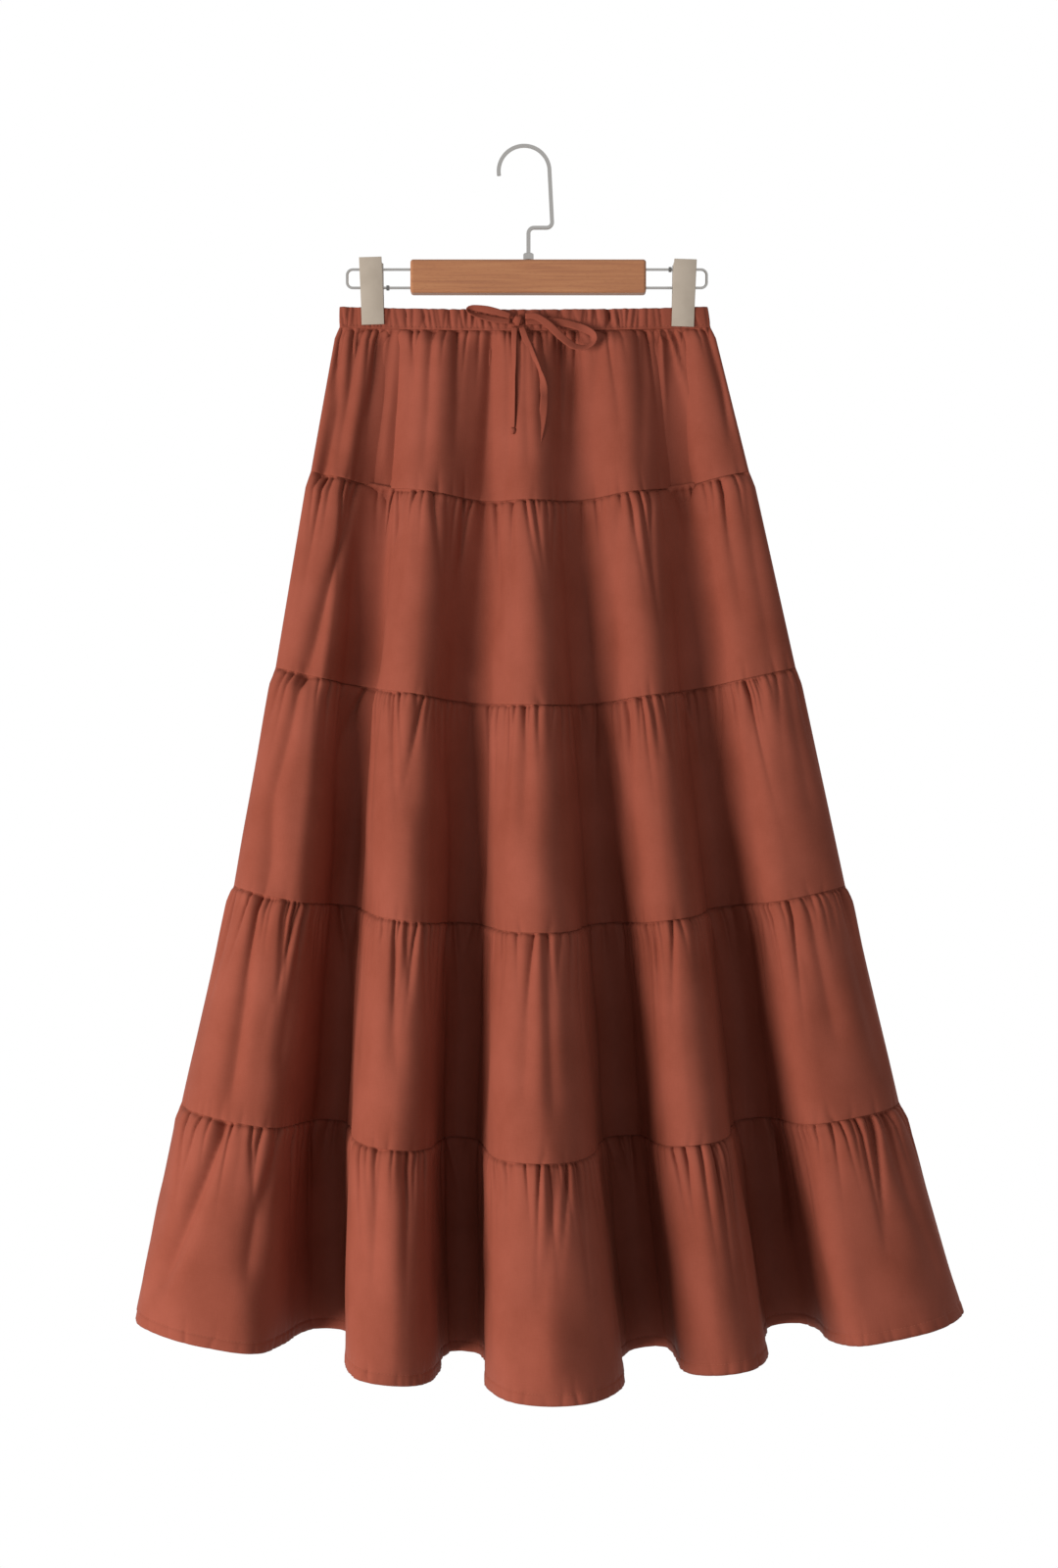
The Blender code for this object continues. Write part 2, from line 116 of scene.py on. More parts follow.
def mesh_object(name: str, points: Array, faces: list[Array], uv: Array | None = None) -> Object:
    """Makes a smooth-shaded mesh object at the origin.

    Args:
        name: The piece's name.
        points: Its points in metres, as rows of x, y, z.
        faces: Arrays of faces, each with its own number of corners.
        uv: A place in the cloth for each point, in metres.

    Returns:
        The object, linked to the scene.
    """
    mesh = bpy.data.meshes.new(name)
    corners = np.concatenate([part.ravel() for part in faces]).astype(np.int32)
    sizes = np.concatenate([np.full(len(part), part.shape[1], np.int32) for part in faces])
    mesh.vertices.add(len(points))
    mesh.vertices.foreach_set("co", np.ascontiguousarray(points, np.float32).ravel())
    mesh.loops.add(len(corners))
    mesh.loops.foreach_set("vertex_index", corners)
    mesh.polygons.add(len(sizes))
    mesh.polygons.foreach_set("loop_start", (np.cumsum(sizes) - sizes).astype(np.int32))
    if uv is not None:
        layer = mesh.uv_layers.new(name="cloth")
        layer.data.foreach_set("uv", np.ascontiguousarray(uv[corners], np.float32).ravel())
    mesh.update(calc_edges=True)
    mesh.validate()
    mesh.shade_smooth()
    made = bpy.data.objects.new(name, mesh)
    bpy.context.scene.collection.objects.link(made)
    return made


def finish_piece(made: Object, finish: Material, node: str | None = None) -> None:
    """Gives a piece its only material, its body and the solid that it replaces, if any."""
    made.data.materials.clear()
    made.data.materials.append(finish)
    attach(made, "root")
    if node:
        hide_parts(node)


def ring_turns(count: int) -> Array:
    """Evenly spaced angles round a full turn, in radians."""
    return np.linspace(0.0, 2 * np.pi, count + 1)[:-1]


def tube_faces(rings: int, count: int) -> Array:
    """Quads round a tube of rings of points, numbered ring by ring."""
    ring, column = np.meshgrid(np.arange(rings - 1) * count, np.arange(count), indexing="ij")
    after = (column + 1) % count
    quads = [ring + column, ring + after, ring + count + after, ring + count + column]
    return np.stack(quads, -1).reshape(-1, 4)


def travelled(line: Array) -> Array:
    """How far along a line each of its points is, in the line's own unit."""
    return np.concatenate([[0.0], np.cumsum(np.linalg.norm(np.diff(line, axis=0), axis=1))])


def read_along(places: Array, run: Array, values: Array) -> Array:
    """Points or directions read off a line's own at places along its run."""
    return np.stack([np.interp(places, run, values[:, axis]) for axis in range(3)], -1)


def unit(vectors: Array) -> Array:
    """Vectors scaled to length one."""
    return vectors / np.maximum(np.linalg.norm(vectors, axis=-1, keepdims=True), 1e-12)


def smooth_step(value: Array) -> Array:
    """The soft step 3t^2 - 2t^3 of a value held between 0 and 1."""
    held = np.clip(value, 0.0, 1.0)
    return held * held * (3.0 - 2.0 * held)


def divided(counts: Array) -> tuple[Array, Array]:
    """For spans cut into counts of parts: each part's span and how far along the span it starts."""
    span = np.repeat(np.arange(len(counts)), counts)
    share = (np.arange(len(span)) - np.repeat(np.cumsum(counts) - counts, counts)) / counts[span]
    return span, share[:, None]


def rounded_route(route: Array, step: float) -> Array:
    """Points about a step apart on the Catmull-Rom curve through a route's points.

    Args:
        route: The points that the curve passes, in metres.
        step: The spacing of the new points, in metres.

    Returns:
        The curve's points.
    """
    ends = np.vstack([2 * route[0] - route[1], route, 2 * route[-1] - route[-2]])
    a, b, c, d = (ends[start : len(route) - 1 + start] for start in range(4))
    counts = np.maximum(1, np.rint(np.linalg.norm(c - b, axis=1) / step)).astype(int)
    span, t = divided(counts)
    line = 0.5 * (
        2 * b[span]
        + (c - a)[span] * t
        + (2 * a - 5 * b + 4 * c - d)[span] * t**2
        + (3 * b - a - 3 * c + d)[span] * t**3
    )
    return np.vstack([line, route[-1:]])


def swept(name: str, path: Array, across: Array, outline: Array) -> Object:
    """A closed bar: an outline carried along a path, its ends filled.

    A point is the path's point, plus the outline's first number along the width and its second along the
    direction square to both the width and the path.

    Args:
        name: The piece's name.
        path: The path's points, in metres.
        across: The width's direction at each of them.
        outline: Either one outline of (width, height) points or one for each path point.

    Returns:
        The bar's object.
    """
    along = unit(np.gradient(path, axis=0))
    wide = unit(across - (across * along).sum(-1, keepdims=True) * along)
    high = np.cross(along, wide)
    outline = np.broadcast_to(outline, (len(path), *outline.shape[-2:]))
    points = path[:, None] + outline[..., :1] * wide[:, None] + outline[..., 1:] * high[:, None]
    count = outline.shape[1]
    quads = tube_faces(len(path), count)
    first, last = np.arange(count)[::-1][None], (len(path) - 1) * count + np.arange(count)[None]
    around = np.linspace(0.0, np.abs(outline).max() * 4, count)
    uv = np.stack(np.broadcast_arrays(travelled(path)[:, None], around[None]), -1).reshape(-1, 2)
    return mesh_object(name, points.reshape(-1, 3), [quads, first, last], uv)


# ---- Finishes


def linear(colour: str) -> tuple[float, float, float, float]:
    """An sRGB colour such as "#A4513F" as linear red, green, blue and an alpha of one."""
    parts = [int(colour[index : index + 2], 16) / 255 for index in (1, 3, 5)]
    red, green, blue = (part / 12.92 if part <= 0.04045 else ((part + 0.055) / 1.055) ** 2.4 for part in parts)
    return red, green, blue, 1.0


def add_node(tree: NodeTree, kind: str, inputs: dict[Any, Any] | None = None, **settings: Any) -> Any:
    """Adds a node, sets it up and links it.

    Args:
        tree: The node tree it goes in.
        kind: The node's type name, without "ShaderNode".
        inputs: For each input, by name or number, a value for it or a socket to link to it.
        settings: The node's own settings.

    Returns:
        The node.
    """
    node = tree.nodes.new("ShaderNode" + kind)
    for key, value in settings.items():
        setattr(node, key, value)
    feed(node, inputs or {})
    return node


def feed(node: bpy.types.Node, inputs: dict[Any, Any]) -> None:
    """Gives a node's inputs, by name or number, a value each or a socket to link to."""
    for key, value in inputs.items():
        if isinstance(value, bpy.types.NodeSocket):
            node.id_data.links.new(value, node.inputs[key])
        else:
            node.inputs[key].default_value = value


def ramp(tree: NodeTree, value: Any, stops: tuple[tuple[float, str], ...]) -> Any:
    """A colour ramp over a value, its stops given as a place and an sRGB colour."""
    node = add_node(tree, "ValToRGB", {"Fac": value})
    band = node.color_ramp
    while len(band.elements) < len(stops):
        band.elements.new(0.5)
    for element, (place, colour) in zip(band.elements, stops):
        element.position = place
        element.color = linear(colour)
    return node


@dataclass(frozen=True)
class Finish:
    """A finish named for the real one. Each kind says what feeds the shader, and this builds its material."""

    name: str

    def sockets(self, tree: NodeTree, place: Any) -> dict[str, Any]:
        """What feeds the shader's inputs: one value for all of the surface, or a socket.

        Args:
            tree: The material's node tree.
            place: The coordinates' outputs, by name.

        Returns:
            A value or a socket for each input's name.
        """
        raise NotImplementedError

    def build(self) -> Material:
        """Makes the material."""
        made = bpy.data.materials.new(self.name)
        made.use_nodes = True
        tree = made.node_tree
        feed(tree.nodes["Principled BSDF"], self.sockets(tree, add_node(tree, "TexCoord").outputs))
        return made


@dataclass(frozen=True)
class CottonPoplin(Finish):
    """Piece-dyed cotton poplin: a close plain weave that is matt, with a faint sheen where it bends to the light."""

    name: str = "terracotta_cotton_poplin"
    dark: str = "#7F3F2F"
    body: str = "#884636"
    light: str = "#8F4B3B"
    roughness: float = 0.62
    specular: float = 0.14
    sheen: float = 0.04
    sheen_roughness: float = 0.45
    sheen_tint: str = "#E0A080"
    thread: float = 0.9  # mm between drawn threads; real poplin has 0.25 mm, too fine to show
    thread_contrast: float = 0.22
    weave_depth: float = 0.05  # mm

    def sockets(self, tree: NodeTree, place: Any) -> dict[str, Any]:
        """Feeds the shader, its threads following the cloth's own map in metres."""
        turns = 1.0 / (self.thread * MM)
        warp, weft = (
            add_node(tree, "TexNoise", {"Vector": drawn.outputs[0], "Scale": 1.0, "Detail": 2.0})
            for drawn in (
                add_node(tree, "Mapping", {"Vector": place["UV"], "Scale": scale})
                for scale in ((turns, turns / 9, 1.0), (turns / 9, turns, 1.0))
            )
        )
        threads = add_node(tree, "Math", {0: warp.outputs["Fac"], 1: weft.outputs["Fac"]}, operation="ADD")
        patches = add_node(
            tree, "TexNoise", {"Vector": place["Object"], "Scale": 16.0, "Detail": 3.0, "Roughness": 0.55}
        )
        woven = {0: threads.outputs[0], 1: self.thread_contrast, 2: patches.outputs["Fac"]}
        tone = add_node(tree, "Math", woven, operation="MULTIPLY_ADD")
        colour = ramp(tree, tone.outputs[0], ((0.42, self.dark), (0.72, self.body), (1.0, self.light)))
        weave = {"Height": threads.outputs[0], "Distance": self.weave_depth * MM, "Strength": 0.8}
        return {
            "Base Color": colour.outputs["Color"],
            "Normal": add_node(tree, "Bump", weave).outputs["Normal"],
            "Roughness": self.roughness,
            "Specular IOR Level": self.specular,
            "Sheen Weight": self.sheen,
            "Sheen Roughness": self.sheen_roughness,
            "Sheen Tint": linear(self.sheen_tint),
        }


@dataclass(frozen=True)
class SewingThread(Finish):
    """Spun polyester sewing thread, dyed a little deeper than the cloth so the stitches read as fine dots."""

    name: str = "terracotta_sewing_thread"
    colour: str = "#96503C"
    roughness: float = 0.55
    ply: float = 0.5  # mm from one twist of the thread to the next

    def sockets(self, tree: NodeTree, place: Any) -> dict[str, Any]:
        """Feeds the shader, with the thread's twist as fine slanted bands."""
        twist = add_node(
            tree,
            "TexWave",
            {"Vector": place["Object"], "Scale": 1.0 / (self.ply * MM * 6.28), "Distortion": 0.6},
            bands_direction="DIAGONAL",
        )
        bump = add_node(tree, "Bump", {"Height": twist.outputs["Fac"], "Distance": 0.05 * MM, "Strength": 0.5})
        return {"Base Color": linear(self.colour), "Roughness": self.roughness, "Normal": bump.outputs["Normal"]}


@dataclass(frozen=True)
class VarnishedBeech(Finish):
    """Steamed beech, planed and satin varnished: warm and even, with fine lengthways grain and short dark flecks."""

    name: str = "satin_varnished_beech"
    dark: str = "#996344"
    body: str = "#A56D49"
    light: str = "#AD7650"
    fleck: str = "#8B593B"
    grain: float = 2.4  # mm across one band of grain
    flecks: float = 1.1  # mm across a fleck
    roughness: float = 0.42
    varnish: float = 0.25
    varnish_roughness: float = 0.3

    def sockets(self, tree: NodeTree, place: Any) -> dict[str, Any]:
        """Feeds the shader, the grain running along X."""
        across = 1.0 / (self.grain * MM)
        stretched = add_node(tree, "Mapping", {"Vector": place["Object"], "Scale": (across / 28, across, across)})
        bands = add_node(
            tree, "TexNoise", {"Vector": stretched.outputs[0], "Scale": 1.0, "Detail": 5.0, "Distortion": 0.5}
        )
        wood = ramp(tree, bands.outputs["Fac"], ((0.3, self.dark), (0.5, self.body), (0.72, self.light)))
        fine = 1.0 / (self.flecks * MM)
        drawn = add_node(tree, "Mapping", {"Vector": place["Object"], "Scale": (fine / 7, fine, fine)})
        specks = add_node(tree, "TexVoronoi", {"Vector": drawn.outputs[0], "Scale": 1.0})
        speck = add_node(tree, "MapRange", {
            "Value": specks.outputs["Distance"], "From Min": 0.12, "From Max": 0.3, "To Min": 0.45, "To Max": 0.0,
        })  # fmt: skip
        flecked = {"Factor": speck.outputs["Result"], "A": wood.outputs["Color"], "B": linear(self.fleck)}
        mixed = add_node(tree, "Mix", flecked, data_type="RGBA")
        bump = add_node(tree, "Bump", {"Height": bands.outputs["Fac"], "Distance": 0.12 * MM, "Strength": 0.35})
        # The mix has several results of one name, and its third is the colour.
        return {
            "Base Color": mixed.outputs[2],
            "Normal": bump.outputs["Normal"],
            "Roughness": self.roughness,
            "Coat Weight": self.varnish,
            "Coat Roughness": self.varnish_roughness,
        }


@dataclass(frozen=True)
class SteelWire(Finish):
    """Drawn steel wire: clean metal, with fine drawing lines or an oil film that make its highlights uneven."""

    name: str
    colour: str
    roughness: Pair
    patch: float  # mm across a patch of one roughness

    def sockets(self, tree: NodeTree, place: Any) -> dict[str, Any]:
        """Feeds the shader, its roughness wandering between two values."""
        patches = {"Vector": place["Object"], "Scale": 1.0 / (self.patch * MM), "Detail": 2.0}
        marks = add_node(tree, "TexNoise", patches)
        low, high = self.roughness
        rough = add_node(tree, "MapRange", {"Value": marks.outputs["Fac"], "To Min": low, "To Max": high})
        return {"Base Color": linear(self.colour), "Metallic": 1.0, "Roughness": rough.outputs["Result"]}


# Nickel-chrome plate is bright, with drawing lines; oiled spring steel is grey and only half bright.
PLATED_WIRE = SteelWire("plated_steel_wire", "#D8D5D1", (0.26, 0.40), 1.4)
OILED_SPRING = SteelWire("oiled_spring_steel", "#8C8B89", (0.24, 0.44), 1000 / 300)


@dataclass(frozen=True)
class CoatedClip(Finish):
    """Pressed steel with a matt greige powder coat: even in colour, faintly pebbled, its edges a touch lighter."""

    name: str = "greige_powder_coated_steel"
    colour: str = "#AA9D8E"
    shade: str = "#A39687"
    roughness: float = 0.5
    pebble: float = 0.8  # mm across a pebble of the coat

    def sockets(self, tree: NodeTree, place: Any) -> dict[str, Any]:
        """Feeds the shader, its colour faintly clouded and its coat pebbled."""
        grains = {"Vector": place["Object"], "Scale": 1.0 / (self.pebble * MM), "Detail": 1.0}
        pebbles = add_node(tree, "TexNoise", grains)
        clouds = add_node(tree, "TexNoise", {"Vector": place["Object"], "Scale": 60.0, "Detail": 2.0})
        coat = ramp(tree, clouds.outputs["Fac"], ((0.35, self.shade), (0.65, self.colour)))
        bump = add_node(tree, "Bump", {"Height": pebbles.outputs["Fac"], "Distance": 0.03 * MM, "Strength": 0.5})
        return {
            "Base Color": coat.outputs["Color"], "Normal": bump.outputs["Normal"], "Roughness": self.roughness,
        }  # fmt: skip


@dataclass(frozen=True)
class StudioFloor(Finish):
    """A matt pale paper floor that fades out towards its edge, so that it meets the white room without a line."""

    name: str = "pale_paper_floor"
    colour: str = "#F4F3F1"
    inner: float = 0.3
    outer: float = 0.74
    opacity: float = 0.4

    def sockets(self, tree: NodeTree, place: Any) -> dict[str, Any]:
        """Feeds the shader, its opacity falling with distance from the floor's middle."""
        flat = add_node(tree, "VectorMath", {0: place["Object"], 1: (1.0, 1.0, 0.0)}, operation="MULTIPLY")
        far = add_node(tree, "VectorMath", {0: flat.outputs["Vector"]}, operation="LENGTH")
        reach = {"From Min": self.inner, "From Max": self.outer, "To Min": self.opacity, "To Max": 0.0}
        faded = {"Value": far.outputs["Value"], **reach}
        fade = add_node(tree, "MapRange", faded, interpolation_type="SMOOTHSTEP")
        return {"Base Color": linear(self.colour), "Roughness": 0.8, "Alpha": fade.outputs["Result"]}


# ---- The hung shape


@dataclass(frozen=True)
class Level:
    """A seam's line: its ends across, its height at the sides, its dip in the middle (mm) and its folds' growth."""

    left: float
    right: float
    height: float
    dip: float
    growth: float


@dataclass(frozen=True)
class Fold:
    """A fold's place across at the waist, the knee and the hem (shares), and its depth (mm) and breadth at the hem."""

    pipe: bool
    waist: float
    knee: float
    hem: float
    depth: float
    breadth: float


LEVELS = (
    Level(-164.5, 163.5, -142, 3.5, 0.0),
    Level(-164.5, 166, -160, 3.5, 0.0),
    Level(-190, 200.5, -289, 28, 0.10),
    Level(-221.5, 242, -464, 35, 0.25),
    Level(-258.5, 286, -658, 38, 0.48),
    Level(-305, 334, -851, 37, 0.72),
    Level(-345.5, 389.5, -1036, 45, 1.0),
)
FRONT_FOLDS = (
    Fold(True, 0.065, 0.085, 0.125, -85, 0.80),
    Fold(False, 0.14, 0.155, 0.235, 35, 0.65),
    Fold(True, 0.26, 0.265, 0.312, -120, 1.20),
    Fold(False, 0.41, 0.370, 0.395, 8, 0.65),
    Fold(True, 0.51, 0.500, 0.503, -150, 1.25),
    Fold(False, 0.62, 0.602, 0.622, 18, 0.70),
    Fold(True, 0.75, 0.720, 0.711, -92, 1.10),
    Fold(False, 0.885, 0.810, 0.790, 42, 0.75),
    Fold(True, 0.955, 0.920, 0.880, -65, 0.80),
)
BACK_FOLDS = (
    Fold(True, 0.13, 0.16, 0.185, 100, 1.00),
    Fold(False, 0.27, 0.30, 0.320, 40, 0.80),
    Fold(True, 0.40, 0.42, 0.430, 118, 1.15),
    Fold(False, 0.52, 0.53, 0.530, 28, 0.75),
    Fold(True, 0.64, 0.63, 0.635, 125, 1.20),
    Fold(False, 0.76, 0.73, 0.725, 36, 0.75),
    Fold(True, 0.89, 0.85, 0.835, 104, 1.05),
)


@dataclass(frozen=True)
class Drape:
    """The middle surface of the front or the back, from the casing's top edge to the hem.

    A section at one height is a chain of cubic curves through the folds' turning points. At each of them the chain
    runs level across, with handles a share of the space to the next fold, so a broad fold overhangs its neighbours.
    """

    facing: Facing
    folds: tuple[Fold, ...]
    knee: float = 0.36
    dip_power: float = 1.6
    slack_handle: float = 0.45
    side_handle: float = 0.55
    side_gap: float = 0.2
    pinch: float = 1.5
    waist_open: float = 5.5
    flat_waist: Pair = (0.14, 0.885)
    puff: float = 2.5
    puff_top: float = 0.08

    def keys(self, place: Array) -> dict[str, Array]:
        """The turning points and handles of the sections at some places down the skirt, in mm.

        Args:
            place: 0 is the casing's top edge, 1 its seam, and each whole number after it the next seam down.

        Returns:
            Arrays with a row for each place: x, y, before and after (handles as x, y), and the level's own values.
        """
        sign = self.facing.value
        held = np.clip(place, 0.0, len(LEVELS) - 1.0)
        index = np.arange(len(LEVELS))
        left, right, height, dip, growth = (
            np.interp(held, index, [getattr(level, name) for level in LEVELS])
            for name in ("left", "right", "height", "dip", "growth")
        )
        below_top, bottom = LEVELS[0].height, LEVELS[-1].height
        down = held % 1.0
        swell = np.where(held < 1.0, 0.0, self.puff * np.minimum(down / self.puff_top, 1.0) * (1.0 - down))
        left, right = left - swell, right + swell
        fallen = (below_top - height) / (below_top - bottom)
        share = np.stack([np.interp(fallen, [0, self.knee, 1], [f.waist, f.knee, f.hem]) for f in self.folds], 1)
        start, end = self.flat_waist
        inside = np.clip((share - start) / (end - start), 0.0, 1.0)
        waist = sign * (self.pinch + (self.waist_open - self.pinch) * np.sin(np.pi * inside))
        grown = growth[:, None]
        deep, broad, pipes = np.array([(f.depth, f.breadth, f.pipe) for f in self.folds]).T
        depth = waist + (deep - waist) * grown + sign * swell[:, None] * pipes
        breadth = self.slack_handle + (broad - self.slack_handle) * grown
        crest = left[:, None] + share * (right - left)[:, None]
        x = np.column_stack([left, crest, right])
        side = np.full_like(left, sign * self.side_gap)
        y = np.column_stack([side, depth, side])
        gaps = np.diff(x, axis=1)
        before, after = np.zeros((*x.shape, 2)), np.zeros((*x.shape, 2))
        before[:, 1:-1, 0] = -breadth * gaps[:, :-1]
        after[:, 1:-1, 0] = breadth * gaps[:, 1:]
        after[:, 0, 1] = self.side_handle * (depth[:, 0] - side)
        before[:, -1, 1] = self.side_handle * (depth[:, -1] - side)
        return {
            "at": np.stack([x, y], -1), "before": before, "after": after,
            "left": left, "right": right, "height": height, "dip": dip,
        }  # fmt: skip

    def surface(self, place: Array, along: Array) -> Array:
        """Points of the middle surface.

        Each is the cubic curve between two turning points, (1-t)^3 A + 3(1-t)^2 t (A+a) + 3(1-t)t^2 (B+b) + t^3 B.
        Its height falls below the sides' by the dip, times one less the distance from the middle to a power.

        Args:
            place: Places down the skirt, as keys() takes them.
            along: Places along a section: whole numbers are turning points.

        Returns:
            An array of rows, columns and x, y, z, in metres.
        """
        keys = self.keys(place)
        segment = np.minimum(along.astype(int), len(self.folds))
        t = (along - segment)[None, :, None]
        first, second = keys["at"][:, segment], keys["at"][:, segment + 1]
        leaving, arriving = first + keys["after"][:, segment], second + keys["before"][:, segment + 1]
        flat = (1 - t) ** 3 * first + 3 * (1 - t) ** 2 * t * leaving + 3 * (1 - t) * t**2 * arriving + t**3 * second
        left, right = keys["left"][:, None], keys["right"][:, None]
        off_centre = np.minimum(np.abs(2 * (flat[..., 0] - left) / (right - left) - 1), 1.0)
        height = keys["height"][:, None] - keys["dip"][:, None] * (1 - off_centre**self.dip_power)
        return np.concatenate([flat, height[..., None]], -1) * MM

    def columns(self, place: float, spacing: float) -> Array:
        """Places along a section that lie evenly spaced on the cloth at one height.

        Args:
            place: The place down the skirt where they are even.
            spacing: The space between them, in mm.

        Returns:
            The places along, from the -X side to the +X side.
        """
        fine = np.linspace(0.0, len(self.folds) + 1.0, 4001)
        line = self.surface(np.array([place]), fine)[0]
        run = travelled(line) / MM
        return np.interp(np.linspace(0.0, run[-1], int(run[-1] / spacing) + 1), run, fine)


# ---- Relief: what the cloth does on top of its large folds. Amounts are in mm, and inward is negative.


@dataclass(frozen=True)
class Crease:
    """One soft trough laid down a tier, narrow at its top and wider and shallower going down.

    Its line is given as (x, z) pairs in mm as they show from straight in front. Its width (half its breadth) and its
    depth are given at its two ends, in mm.
    """

    line: tuple[Pair, ...]
    width: Pair
    depth: Pair
    fade: float = 34.0
    overrun: float = 0.6
    sharp: float = 0.85

    def relief(self, seen: Array) -> Array:
        """How far the cloth moves: a bell curve of the distance from the line, faded out past its lower end.

        Args:
            seen: The cloth's x and z as they show from the front, in mm.

        Returns:
            The movement at each point, in mm.
        """
        line = np.array(self.line)
        x, z = seen[..., 0], seen[..., 1]
        middle = np.interp(-z, -line[:, 1], line[:, 0])
        width, depth = (np.interp(-z, -line[[0, -1], 1], ends) for ends in (self.width, self.depth))
        window = smooth_step((z - line[-1, 1]) / self.fade + self.overrun)
        return -depth * np.exp(-0.5 * (((x - middle) / width) ** 2) ** self.sharp) * window


def fold_swells(folds: tuple[Fold, ...], width: float = 14.0, depth: float = 6.0) -> dict[int, tuple[Crease, ...]]:
    """Each tier's broad soft swells: a ridge over each pipe of a side and a trough in each slack between them."""
    top, drop = LEVELS[0].height, LEVELS[0].height - LEVELS[-1].height
    swells: dict[int, tuple[Crease, ...]] = {}
    for tier in range(1, len(LEVELS) - 1):
        lines = []
        for fold in folds[1:-1]:
            line = []
            for level, past in zip(LEVELS[tier : tier + 2], (0.0, 25.0)):
                fallen = (top - level.height) / drop
                share = float(np.interp(fallen, [0, Drape.knee, 1], [fold.waist, fold.knee, fold.hem]))
                seam = level.height - level.dip * (1.0 - abs(2.0 * share - 1.0) ** Drape.dip_power)
                line.append((level.left + share * (level.right - level.left), seam - past))
            moved = -depth if fold.pipe else depth
            lines.append(Crease(tuple(line), (width, width), (moved, moved)))
        swells[tier] = tuple(lines)
    return swells


def laid(*rows: tuple[float, ...]) -> tuple[Crease, ...]:
    """Creases from rows of numbers: the line's x and z in turn, its two widths and its two depths."""
    return tuple(Crease(tuple(zip(row[:-4:2], row[1:-4:2])), row[-4:-2], row[-2:]) for row in rows)


@dataclass(frozen=True)
class Gathers:
    """A family of little pleats that start at a gathered seam and die out below it, no two of them alike."""

    pitch: Pair
    width: Pair
    depth: Pair
    length: Pair
    spread: float
    lean: float = 0.06
    power: float = 1.5
    sharp: float = 0.72
    bunching: float = 0.5
    drift: float = 0.6
    spare: float = 1.8
    shares: Pair = (1.2, 2.2)

    def relief(self, run: Array, down: Array, seed: int) -> Array:
        """How far the cloth moves: a trough for each pleat, a bell curve across (sharper where sharp is under 1)
        that widens and fades going down.

        Args:
            run: Each column's place along the seam, in mm.
            down: Each row's distance below the seam, in mm.
            seed: What the pleats' places and sizes are drawn from.

        Returns:
            The movement by row and column, in mm.
        """
        draw = np.random.default_rng(seed)
        count = int(run[-1] / self.pitch[0] * self.spare) + 2
        crowding = np.exp(self.bunching * np.sin(np.cumsum(draw.normal(0.0, self.drift, count))))
        middles = np.cumsum(draw.uniform(*self.pitch, count) * crowding) - self.pitch[1] / 2
        middles = middles[middles < run[-1] + self.pitch[1]]
        count = len(middles)
        sizes = draw.beta(*self.shares, count)
        width = draw.uniform(*self.width, count)
        depth = self.depth[0] + (self.depth[1] - self.depth[0]) * sizes
        length = self.length[0] + (self.length[1] - self.length[0]) * sizes * draw.uniform(0.5, 1.0, count)
        lean = draw.normal(0.0, self.lean, count)
        below = np.maximum(down, 0.0)[:, None]
        total = np.zeros((len(down), len(run)))
        for start in range(0, count, 40):
            part = slice(start, start + 40)
            wide = width[part] * (1.0 + below / self.spread)
            centre = middles[part] + lean[part] * below
            fade = np.exp(-((below / length[part]) ** self.power))
            offset = (run[None, :, None] - centre[:, None, :]) / wide[:, None, :]
            total -= (np.exp(-0.5 * (offset**2) ** self.sharp) * (depth[part] * fade)[:, None, :]).sum(-1)
        return total


def waver(run: Array, down: Array, seed: int, sizes: tuple[float, ...], amount: float) -> Array:
    """A gentle unevenness: a sum of crossed sine waves with drawn phases and slants.

    Args:
        run: Each column's place along, in mm.
        down: Each row's place down, in mm.
        seed: What the waves are drawn from.
        sizes: The waves' lengths, in mm.
        amount: The height of the whole, in mm.

    Returns:
        The movement by row and column, in mm.
    """
    draw = np.random.default_rng(seed)
    total = np.zeros((len(down), len(run)))
    for size in sizes:
        for _ in range(3):
            phase, other = draw.uniform(0, 2 * np.pi, 2)
            slant = draw.normal(0.0, 0.12)
            stretch = draw.uniform(2.0, 4.5)
            wave = np.sin(2 * np.pi * (run[None] + slant * down[:, None]) / size + phase)
            total += wave * np.sin(2 * np.pi * down[:, None] / (size * stretch) + other)
    return amount * total / math.sqrt(3 * len(sizes))


# ---- Cloth pieces


@dataclass(frozen=True)
class TierStyle:
    """How one tier is cut and gathered: its cut below the seam allowance (metres), and how strong its gathers are."""

    number: int
    cut: Pair
    teeth: float
    pleats: float
    folds: float

    def eased(self, share: float) -> TierStyle:
        """The same tier with weaker drawn pleats and folds, for a panel whose creases are listed."""
        return TierStyle(self.number, self.cut, self.teeth, self.pleats * share, self.folds * share)


@dataclass
class Sight:
    """Where the cloth is looked at from, which fixes how its listed creases are drawn."""

    distance: float = 1.944
    height: float = -0.567875
    side: float = 0.004375

    def seen(self, points: Array) -> Array:
        """Points' x and z as they show on the plane through the hanger, in mm."""
        near = 1.0 + points[..., 1] / self.distance
        x = self.side + (points[..., 0] - self.side) / near
        z = self.height + (points[..., 2] - self.height) / near
        return np.stack([x, z], -1) / MM


